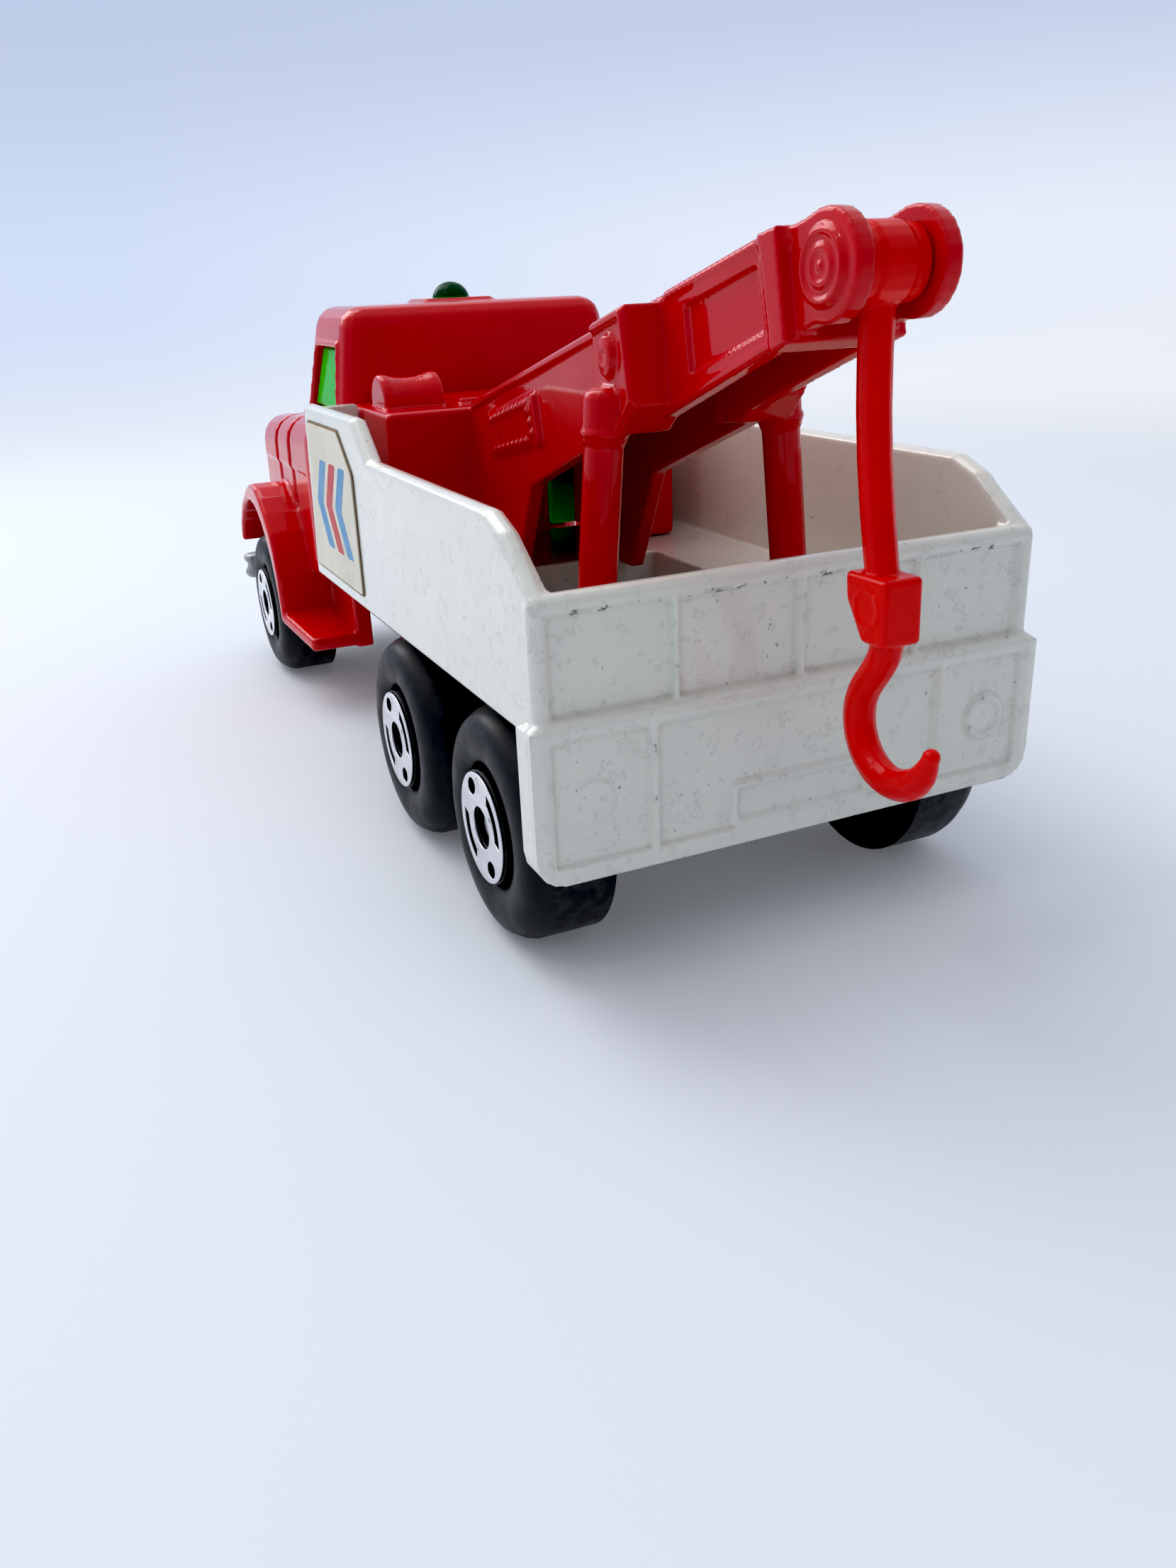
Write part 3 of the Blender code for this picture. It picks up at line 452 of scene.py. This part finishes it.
def bare_metal():
    """Unpainted die-cast zinc: dull, mottled and pitted, brighter where it is rubbed."""
    paint = Paint("bare_metal", (0.44, 0.44, 0.45), 0.5, 0.85)
    paint.tint(paint.span(paint.noise(2.2, 6.0, 0.6), 0.35, 0.65), (0.30, 0.30, 0.31))
    paint.tint(paint.edges(0.52, 0.58), (0.70, 0.70, 0.71))
    paint.tint(paint.edges(0.46, 0.40), (0.10, 0.10, 0.10))
    paint.rough(paint.noise(0.7, 5.0), 0.38, 0.62)
    paint.bump(paint.noise(0.35, 4.0), 0.02)
    paint.bump(paint.noise(3.0, 2.0), 0.03)
    return paint.material


def steel_wire():
    """Drawn steel with fine lines along the axle."""
    paint = Paint("steel_wire", (0.72, 0.71, 0.70), 0.34, 1.0)
    lines = paint.noise(0.12, 3.0, 0.5, (1.0, 0.08, 1.0))
    paint.tint(paint.span(lines, 0.4, 0.65), (0.52, 0.51, 0.50))
    paint.rough(lines, 0.25, 0.45)
    paint.bump(lines, 0.006)
    return paint.material


def black_plastic():
    """Satin black plastic: greyer where dust and handling have dulled it."""
    paint = Paint("black_plastic", (0.007, 0.0072, 0.008), 0.4, specular_ior_level=0.35)
    paint.tint(paint.span(paint.noise(2.8, 5.0, 0.6), 0.45, 0.75), (0.014, 0.0145, 0.016))
    paint.tint(paint.times(paint.edges(0.51, 0.56), paint.span(paint.noise(0.7, 5.0), 0.45, 0.6)),
               (0.03, 0.03, 0.032))
    dust = paint.times(paint.span(paint.specks(0.9), 0.06, 0.02), paint.span(paint.noise(2.0), 0.52, 0.56))
    paint.tint(dust, (0.25, 0.25, 0.25))
    paint.rough(paint.noise(1.6, 5.0), 0.34, 0.52)
    paint.bump(paint.noise(0.4, 3.0), 0.008)
    return paint.material


def silver_foil():
    """Hot-stamped foil: bright, a little dented, and rubbed through to dark specks."""
    paint = Paint("silver_foil", (0.80, 0.80, 0.82), 0.22, 1.0)
    paint.tint(paint.span(paint.noise(1.8, 4.0), 0.4, 0.7), (0.74, 0.74, 0.76))
    patches = paint.span(paint.noise(2.0), 0.5, 0.6)
    rubbed = paint.times(paint.span(paint.noise(0.5, 6.0, 0.7), 0.62, 0.66), patches)
    paint.tint(paint.times(rubbed, 0.8), (0.12, 0.12, 0.12))
    paint.rough(paint.noise(0.9, 5.0), 0.16, 0.36)
    paint.bump(paint.noise(0.6, 3.0), 0.012)
    return paint.material


def paper(name, colour, stain):
    """Printed paper with fibres and faint stains."""
    paint = Paint(name, colour, 0.6)
    paint.tint(paint.span(paint.noise(3.0, 5.0, 0.6), 0.45, 0.75), stain)
    fibres = paint.noise(0.12, 3.0, 0.6, (1.0, 1.0, 0.35))
    paint.tint(paint.times(paint.span(fibres, 0.5, 0.75), 0.35), stain)
    paint.rough(paint.noise(0.8, 4.0), 0.5, 0.72)
    paint.bump(fibres, 0.008)
    return paint.material


RED = red_enamel()
WHITE = white_enamel()
GREEN = green_plastic()
ORANGE = orange_plastic()
GREY = bare_metal()
STEEL = steel_wire()
BLACK = black_plastic()
SILVER = silver_foil()
CREAM = paper("cream_paper", (0.80, 0.76, 0.64), (0.70, 0.65, 0.52))
BROWN = paper("aged_glue", (0.30, 0.20, 0.11), (0.22, 0.14, 0.08))
BLUE = paper("blue_print", (0.16, 0.36, 0.58), (0.24, 0.42, 0.60))
CORAL = paper("red_print", (0.62, 0.10, 0.10), (0.66, 0.18, 0.16))


def finish_piece(thing, material, body, slot, *nodes):
    """Give a piece its material, hang it under its body's empty and hide the CAD nodes that it replaces."""
    thing.data.materials.clear()
    thing.data.materials.append(material)
    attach(thing, body)
    if nodes:
        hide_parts(*nodes)
    return thing


# ---------------------------------------------------------------- castings

RIM_BEAD = 0.5          # radius of the beads where enamel gathers on the bed's rims
RIB_BEAD = 0.17
FINE_BEAD = 0.13
RIVET_R = 0.21
TAILGATE_EDGE = 12.6    # y of the tailgate's lower corners, and z of its ledge
TAILGATE_TOP = 17.75
DOOR_REAR = 39.1
DOOR_FRONT = 47.5
DOOR_BOTTOM = 12.9
WINDOW_FOOT_Y = 9.85
WINDOW_HEAD_Y = 9.3


def bed():
    """The white bed: the CAD form with thick enamel beads on its rims, ledge, corners and ribs."""
    shape = from_node("truck_bed")
    for side in SIDES.values():
        rim, upper, lower, rib = (side * y for y in (12.12, 12.3, TAILGATE_EDGE, 7.5))
        path = [(36.2, rim, 22.5), (25.6, rim, 22.5), (23.1, rim, 20.5), (5.2, rim, 20.5), (3.6, rim, 19.9),
                (0.9, rim, 17.8)]
        add_bead(shape, path, RIM_BEAD)
        add_bead(shape, [(0.75, upper, 17.7), (0.75, upper, 13.2)], RIM_BEAD - 0.05)
        add_bead(shape, [(0.45, lower, 12.5), (0.45, lower, 7.3)], RIM_BEAD + 0.05)
        add_bead(shape, [(0.03, rib, 12.3), (0.03, rib, 6.6)], RIB_BEAD)
    for y in (-6.2, 0.0, 6.2):
        add_bead(shape, [(0.48, y, 17.4), (0.48, y, 13.1)], RIB_BEAD)
    add_bead(shape, [(0.8, -12.2, TAILGATE_TOP), (0.8, 12.2, TAILGATE_TOP)], RIM_BEAD)
    add_bead(shape, [(0.38, -TAILGATE_EDGE, TAILGATE_EDGE), (0.38, TAILGATE_EDGE, TAILGATE_EDGE)], RIM_BEAD)
    plate = [(-3.5, 6.85), (3.5, 6.85), (3.5, 8.65), (-3.5, 8.65), (-3.5, 6.85)]
    add_bead(shape, [(0.12, y, z) for y, z in plate], FINE_BEAD)
    add_ring(shape, (0.08, -10.3, 9.35), (1, 0, 0), 0.98, FINE_BEAD)
    thing = cast("bed_casting", shape, FINE_VOXEL, 2)
    return finish_piece(thing, WHITE, "truck", "white_enamel", "truck_bed")


def rivet_row(shape, start, end, count):
    """Add a row of small rivet heads."""
    start, end = Vector(start), Vector(end)
    for index in range(count):
        add_ball(shape, start.lerp(end, index / (count - 1)), RIVET_R, 1)


def access_panel_details(shape, side):
    """Rivets along three edges of the boom's side panel, and the upright bar at its rear."""
    y = side * 4.34
    rivet_row(shape, (25.6, y, 22.2), (20.4, y, 23.45), 9)
    rivet_row(shape, (25.2, y, 20.6), (19.8, y, 21.65), 9)
    rivet_row(shape, (20.1, y, 23.1), (19.6, y, 22.0), 3)
    add_bead(shape, [(19.1, y, 23.9), (18.55, y, 21.7)], 0.2)


def drum_details(shape, side):
    """The turns of cable wound on a winch drum, higher towards its ends."""
    turns = 8
    middle = 6.85
    reach = 1.15
    for index in range(turns):
        along = -reach + 2 * reach * index / (turns - 1)
        radius = 1.17 + 0.12 * along ** 2
        add_ring(shape, (33.2, side * (middle + along), 23.0), (0, 1, 0), radius, 0.19)


def cheek_details(shape, side):
    """Two rings round a raised disc with a knob, and the small upright bar, on the fork's cheek."""
    pivot_x, pivot_z = (PIVOT.x - REAR_M) / MM, PIVOT.z / MM
    face = side * 2.42
    add_ring(shape, (pivot_x, face, pivot_z), (0, 1, 0), 1.2, 0.14)
    add_ring(shape, (pivot_x, side * 2.44, pivot_z), (0, 1, 0), 0.62, FINE_BEAD)
    add_bar(shape, (pivot_x, side * 2.2, pivot_z), (pivot_x, side * 2.48, pivot_z), 0.6)
    add_ball(shape, (pivot_x, side * 2.45, pivot_z), 0.17)
    add_bead(shape, [(-1.3, face, 30.5), (-0.95, face, 28.2)], 0.16)


def tread_details(shape):
    """The raised mesh on the block's top."""
    rear, front, half = 31.9, 36.9, 3.9
    foot, top = 22.7, 22.97
    pitch, half_wire = 0.5, 0.07
    x, y = rear + 0.1, 0.1 - half
    while x < front:
        add_block(shape, (x - half_wire, -half, foot), (x + half_wire, half, top))
        x += pitch
    while y < half:
        add_block(shape, (rear, y - half_wire, foot), (front, y + half_wire, top))
        y += pitch


def crane():
    """The red crane casting with its raised borders, rivets, cable and rings."""
    shape = from_node("crane_casting")
    tread_details(shape)
    for side in SIDES.values():
        access_panel_details(shape, side)
        drum_details(shape, side)
        cheek_details(shape, side)
        lug, boom, jib = (side * y for y in (4.5, 4.05, 2.5))
        add_bead(shape, [(11.2, lug, 27.35), (8.25, lug, 28.1), (7.5, lug, 24.5), (8.7, lug, 23.2)], 0.2)
        add_ring(shape, (9.6, side * 4.72, 26.25), (0, 1, 0), 0.42, 0.12)
        add_bead(shape, [(28.9, boom, 22.8), (11.3, boom, 27.15)], 0.3)
        add_bead(shape, [(7.6, jib, 28.65), (-0.9, jib, 30.75)], 0.26)
        add_bead(shape, [(6.9, jib, 24.2), (-0.9, jib, 26.95)], 0.24)
        strut_lean = side * -0.09
        add_ring(shape, (9.75, side * 4.74, 22.9), (0, strut_lean, 1), 1.0, 0.17)
    thing = cast("crane_arm_casting", shape, FINE_VOXEL, 2)
    return finish_piece(thing, RED, "truck", "red_enamel", "crane_casting")


def cab_cuts():
    """Grooves round the doors."""
    cutter = bmesh.new()
    groove = 0.13
    for side in SIDES.values():
        y0, y1 = sorted((side * 9.93, side * 10.6))
        for x in (DOOR_REAR, DOOR_FRONT):
            add_block(cutter, (x - groove, y0, DOOR_BOTTOM), (x + groove, y1, 21.3))
        add_block(cutter, (DOOR_REAR, y0, DOOR_BOTTOM - groove), (DOOR_FRONT, y1, DOOR_BOTTOM + groove))
    return cutter


def cab():
    """The red cab with door lines, handles, a belt moulding, window frames and a ridge on the bonnet."""
    shape = carve(from_node("cab_casting"), cab_cuts())
    for side in SIDES.values():
        add_bead(shape, [(40.3, side * 10.2, 19.3), (41.9, side * 10.2, 19.3)], 0.2)
        add_bead(shape, [(38.6, side * 10.0, 21.55), (48.0, side * 10.0, 21.55)], 0.17)
        foot, head = side * WINDOW_FOOT_Y, side * WINDOW_HEAD_Y
        window = [(39.3, foot, 21.85), (39.6, head, 26.1), (45.1, head, 26.1), (46.7, foot, 21.85)]
        add_bead(shape, window, 0.16)
    add_bead(shape, [(63.6, 0, 20.0), (49.0, 0, 21.0)], 0.28)
    thing = cast("cab_body_casting", shape, CAST_VOXEL, 3)
    return finish_piece(thing, RED, "truck", "red_enamel", "cab_casting")


def base():
    """The bare metal base, with a border and cross ribs on its underside."""
    shape = from_node("chassis_base")
    corners = [(7.5, -6), (7.5, 6), (28, 6), (28, 3), (61.5, 3), (61.5, -3), (28, -3), (28, -6), (7.5, -6)]
    add_bead(shape, [(x, y, BASE_UNDERSIDE) for x, y in corners], 0.2)
    for x, half in ((14.0, 6.0), (37.5, 3.0), (47.5, 3.0)):
        add_bead(shape, [(x, -half, BASE_UNDERSIDE), (x, half, BASE_UNDERSIDE)], 0.2)
    thing = cast("base_casting", shape, CAST_VOXEL, 2)
    return finish_piece(thing, GREY, "truck", "bare_metal", "chassis_base")


def windows():
    """The clear green moulding with the windows and the beacon."""
    shape = from_node("window_insert")
    thing = cast("window_moulding", shape, FINE_VOXEL, 2)
    return finish_piece(thing, GREEN, "truck", "green_plastic", "window_insert")


# ---------------------------------------------------------------- hook


def hook():
    """The plastic hook, softened, with a round mark on each side of its collar and a rounded tip."""
    shape = from_node("tow_hook")
    for side in SIDES.values():
        add_ring(shape, (-5.1, side * 0.88, 17.35), (0, 1, 0), 0.72, 0.1)
    add_ball(shape, (-8.35, 0, 12.12), 0.38)
    thing = cast("tow_hook_moulding", shape, HOOK_VOXEL, 6)
    return finish_piece(thing, ORANGE, "hook", "orange_red_plastic", "tow_hook")


# ---------------------------------------------------------------- running gear


def wheel_section():
    """The outline of half a wheel's section as (radius, |y|) points."""
    hub = [(AXLE_HOLE_R, 12.2), (0.98, 12.2), (0.98, HUB_FACE), (HUB_R, HUB_FACE), (HUB_R, 11.7),
           (3.04, 11.7), (3.05, 12.3)]
    bulge = [(4.12 + 1.3 * math.cos(a), 11.9 + 0.82 * math.sin(a))
             for a in (math.radians(135 - 11 * step) for step in range(12))]
    tread = [(5.60, 11.75), (TYRE_R, 11.35)]
    inner = [(TYRE_R, 8.5), (4.0, 8.5), (3.6, 9.6), (1.6, 9.6), (1.5, HUB_BACK), (AXLE_HOLE_R, HUB_BACK)]
    return rounded(hub, 0.1, 3, closed=False) + bulge + tread + rounded(inner, 0.5, 4, closed=False)


def hub_openings():
    """The outlines of a hub's four openings, two long and two small, turned as they stand at rest."""
    outlines = []
    for middle in (HUB_TURN, HUB_TURN + 180):
        band = arc((0, 0), 2.3, middle - 36, middle + 36, 12)
        band += arc((0, 0), 1.72, middle + 31, middle - 31, 12)
        outlines.append(rounded(band, 0.1, 2))
        angle = math.radians(middle + 90)
        across = Vector((math.cos(angle), math.sin(angle))) * OPENINGS_R
        along = Vector((-math.sin(angle), math.cos(angle)))
        outlines.append([tuple(across * (1 + 0.2 * math.sin(a)) + along * 0.55 * math.cos(a))
                         for a in (math.radians(15 * step) for step in range(24))])
    return outlines


def hub_cutter():
    """The openings as solids that sink into a hub's face."""
    cutter = bmesh.new()
    for outline in hub_openings():
        merge(cutter, flat_plate("opening", [outline], 12.2, 13.2))
    cutter.transform(Matrix.Translation((-REAR_M, 0, 0)))
    return cutter


def turned_mesh(name, shape):
    """A smooth mesh with its sharp corners kept."""
    mesh = bpy.data.meshes.new(name)
    shape.to_mesh(mesh)
    mesh.shade_smooth()
    mesh.set_sharp_from_angle(angle=math.radians(40))
    return mesh


def wheels():
    """Six wheels and their silver faces; each side's three wheels share their meshes."""
    wheel = carve(lathe(wheel_section(), 96), hub_cutter())
    rim = arc((0, 0), 2.72, 0, 355, 71)
    hole = arc((0, 0), 1.04, 0, 352.5, 47)
    face = flat_plate("foil", [rim, hole] + hub_openings(), 12.76, 12.86, 0.03)
    face.transform(Matrix.Translation((-REAR_M, 0, 0)))
    to_right = Matrix.Rotation(math.radians(-2 * HUB_TURN), 4, "Y") @ Matrix.Rotation(math.pi, 4, "Z")
    for side in SIDES:
        if side == "right":
            wheel.transform(to_right)
            face.transform(to_right)
        for shape, name, node, material, slot in (
                (wheel, "wheel_moulding", "wheel", BLACK, "black_plastic"),
                (face, "hub_face", "hub_foil", SILVER, "silver_foil")):
            mesh = turned_mesh(f"{name}_{side}", shape)
            for end in ENDS:
                joint = JOINTS[f"wheel_{end}_{side}_spin"]
                centre = Vector(joint["pos_m"])
                thing = bpy.data.objects.new(f"{name}_{end}_{side}", mesh)
                bpy.context.scene.collection.objects.link(thing)
                thing.location = (centre.x, 0, centre.z)
                finish_piece(thing, material, joint["child"], slot, f"{node}_{end}_{side}")


def axles():
    """Three steel axles with domed, peened ends."""
    half = [(0.0, 12.56), (0.35, 12.54), (0.62, 12.46), (0.82, 12.34), (0.85, 12.27), (0.55, 12.26)]
    section = half + [(radius, -y) for radius, y in reversed(half)]
    for end in ENDS:
        low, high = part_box(f"axle_{end}")
        middle = (low + high) / 2
        shape = lathe(section, 40)
        shape.transform(Matrix.Translation(middle))
        thing = as_object(f"axle_pin_{end}", shape)
        thing.data.shade_smooth()
        thing.data.set_sharp_from_angle(angle=math.radians(50))
        finish_piece(thing, STEEL, "truck", "steel_wire", f"axle_{end}")


# ---------------------------------------------------------------- labels


def label(side, sign):
    """A cream label with a worn brown edge and a plain chevron emblem."""
    outline = [(35.6, 22.1), (28.4, 22.1), (25.9, 19.9), (26.1, 12.95), (37.2, 12.95)]
    middle = Vector((31.2, 17.5))
    paper_edge = [tuple(middle + (Vector(point) - middle) * 0.972) for point in outline]
    layers = [("label_backing", outline, 12.64, 12.68, BROWN, f"label_{side}"),
              ("label_paper", paper_edge, 12.65, 12.73, CREAM, None)]
    chevron = [(-1.6, -2.6), (-0.2, -2.6), (1.6, 0.0), (-0.2, 2.6), (-1.6, 2.6), (0.2, 0.0)]
    for index, (shift, material) in enumerate(((-2.1, BLUE), (0.1, CORAL), (2.3, BLUE))):
        points = [(31.0 + shift + x, 17.4 + z) for x, z in chevron]
        layers.append((f"label_mark_{index + 1}", points, 12.70, 12.745, material, None))
    for name, points, low, high, material, node in layers:
        near, far = sorted((sign * low, sign * high))
        thing = as_object(f"{name}_{side}", flat_plate(name, [rounded(points, 0.25)], near, far))
        finish_piece(thing, material, "truck", "paper_label", *([node] if node else []))


# ---------------------------------------------------------------- stage


def plain(name, colour, roughness):
    """A plain stage material."""
    material = bpy.data.materials.new(name)
    material.use_nodes = True
    shader = material.node_tree.nodes["Principled BSDF"]
    shader.inputs["Base Color"].default_value = (*colour, 1)
    shader.inputs["Roughness"].default_value = roughness
    return material


def area_light(name, place, target, size, power, colour):
    """A square soft light aimed at a place; lengths in metres."""
    light = bpy.data.lights.new(name, "AREA")
    light.shape = "SQUARE"
    light.size = size
    light.energy = power
    light.color = colour
    thing = bpy.data.objects.new(name, light)
    bpy.context.scene.collection.objects.link(thing)
    thing.location = place
    thing.rotation_euler = (Vector(target) - Vector(place)).to_track_quat("-Z", "Y").to_euler()
    return thing


def studio_light(world):
    """Light from all round, strongest ahead: white near the ground and on the right, else pale blue."""
    world.use_nodes = True
    tree = world.node_tree
    nodes, links = tree.nodes, tree.links
    background = nodes["Background"]
    direction = nodes.new("ShaderNodeTexCoord").outputs["Generated"]
    facing = nodes.new("ShaderNodeVectorMath")
    facing.operation = "DOT_PRODUCT"
    facing.inputs[1].default_value = Vector((0.85, 0.10, 0.45)).normalized()
    links.new(direction, facing.inputs[0])
    strength = map_range(tree, facing.outputs["Value"], -0.6, 0.8, 0.56, 0.95, "SMOOTHSTEP")
    axes = nodes.new("ShaderNodeSeparateXYZ")
    links.new(direction, axes.inputs[0])
    low_right = nodes.new("ShaderNodeMath")
    low_right.operation = "MULTIPLY"
    links.new(map_range(tree, axes.outputs["Y"], -0.1, -0.75, 0.0, 0.5), low_right.inputs[0])
    links.new(map_range(tree, axes.outputs["Z"], 0.02, 0.16, 1.0, 0.1), low_right.inputs[1])
    ramp = nodes.new("ShaderNodeValToRGB")
    ramp.color_ramp.interpolation = "EASE"
    ramp.color_ramp.elements[0].position = 0.05
    ramp.color_ramp.elements[0].color = (0.95, 0.975, 1.0, 1)
    ramp.color_ramp.elements[1].position = 0.20
    ramp.color_ramp.elements[1].color = (0.72, 0.81, 1.0, 1)
    for position, colour in ((0.34, (0.60, 0.68, 0.88)), (0.62, (0.86, 0.90, 1.0))):
        ramp.color_ramp.elements.new(position).color = (*colour, 1)
    links.new(map_range(tree, axes.outputs["Z"], -0.25, 1.0), ramp.inputs["Fac"])
    whiten = nodes.new("ShaderNodeMix")
    whiten.data_type = "RGBA"
    whiten.inputs["B"].default_value = (1.1, 1.1, 1.1, 1)
    links.new(low_right.outputs["Value"], whiten.inputs["Factor"])
    links.new(ramp.outputs["Color"], whiten.inputs["A"])
    links.new(whiten.outputs["Result"], background.inputs["Color"])
    links.new(strength, background.inputs["Strength"])


def floor_material():
    """Plain pale floor that thins out with distance from the truck, so that no horizon shows."""
    material = plain("floor", (0.68, 0.71, 0.745), 0.7)
    shader = material.node_tree.nodes["Principled BSDF"]
    shader.inputs["Emission Color"].default_value = (0.97, 0.98, 1.0, 1)
    shader.inputs["Emission Strength"].default_value = 0.11
    tree = material.node_tree
    far = tree.nodes.new("ShaderNodeVectorMath")
    far.operation = "LENGTH"
    tree.links.new(tree.nodes.new("ShaderNodeTexCoord").outputs["Object"], far.inputs[0])
    fade = map_range(tree, far.outputs["Value"], 0.08, 0.30, 1.0, 0.0, "SMOOTHERSTEP")
    tree.links.new(fade, shader.inputs["Alpha"])
    return material


def stage():
    """A pale floor, pale light all round, soft lights above and ahead, and a small one for glints."""
    bpy.ops.mesh.primitive_plane_add(size=1)
    floor = bpy.context.object
    floor.name = "floor"
    floor.data.materials.append(floor_material())
    world = bpy.data.worlds.new("studio")
    bpy.context.scene.world = world
    studio_light(world)
    area_light("overhead", (0.10, 0.05, 0.22), (0, 0, 0.01), 0.14, 0.16, (1.0, 0.98, 0.97))
    area_light("ahead", (0.38, 0.16, 0.26), (0, 0, 0.01), 0.24, 0.50, (1.0, 0.99, 0.98))
    area_light("glint", (-0.03, 0.12, 0.20), (0, 0, 0.01), 0.03, 0.02, (1.0, 1.0, 1.0))


def camera():
    """The viewpoint: low behind the truck's left rear corner, looking down the left side."""
    lens, yaw, pitch, roll = 28.14, -23.94, -22.57, -2.47
    yaw, pitch, roll = (math.radians(angle) for angle in (yaw, pitch, roll))
    forward = Vector((math.cos(pitch) * math.cos(yaw), math.cos(pitch) * math.sin(yaw), math.sin(pitch)))
    right = forward.cross(Vector((0, 0, 1))).normalized()
    up = right.cross(forward)
    across = right * math.cos(roll) + up * math.sin(roll)
    upward = up * math.cos(roll) - right * math.sin(roll)
    data = bpy.data.cameras.new("camera")
    data.sensor_width = 36
    data.lens = lens
    data.clip_start = 0.001
    data.clip_end = 20
    thing = bpy.data.objects.new("camera", data)
    bpy.context.scene.collection.objects.link(thing)
    thing.matrix_world = Matrix.Translation(at(-42.63, 29.58, 29.67)) @ Matrix(
        (across, upward, -forward)).transposed().to_4x4()
    bpy.context.scene.camera = thing


bed()
crane()
cab()
base()
windows()
hook()
wheels()
axles()
for side_name, side_sign in SIDES.items():
    label(side_name, side_sign)
stage()
camera()
bpy.context.scene.view_settings.view_transform = "Standard"
bpy.context.scene.view_settings.gamma = 0.9
bpy.context.scene.view_settings.use_curve_mapping = True
bpy.context.scene.view_settings.curve_mapping.black_level = (0.018, 0.018, 0.018)
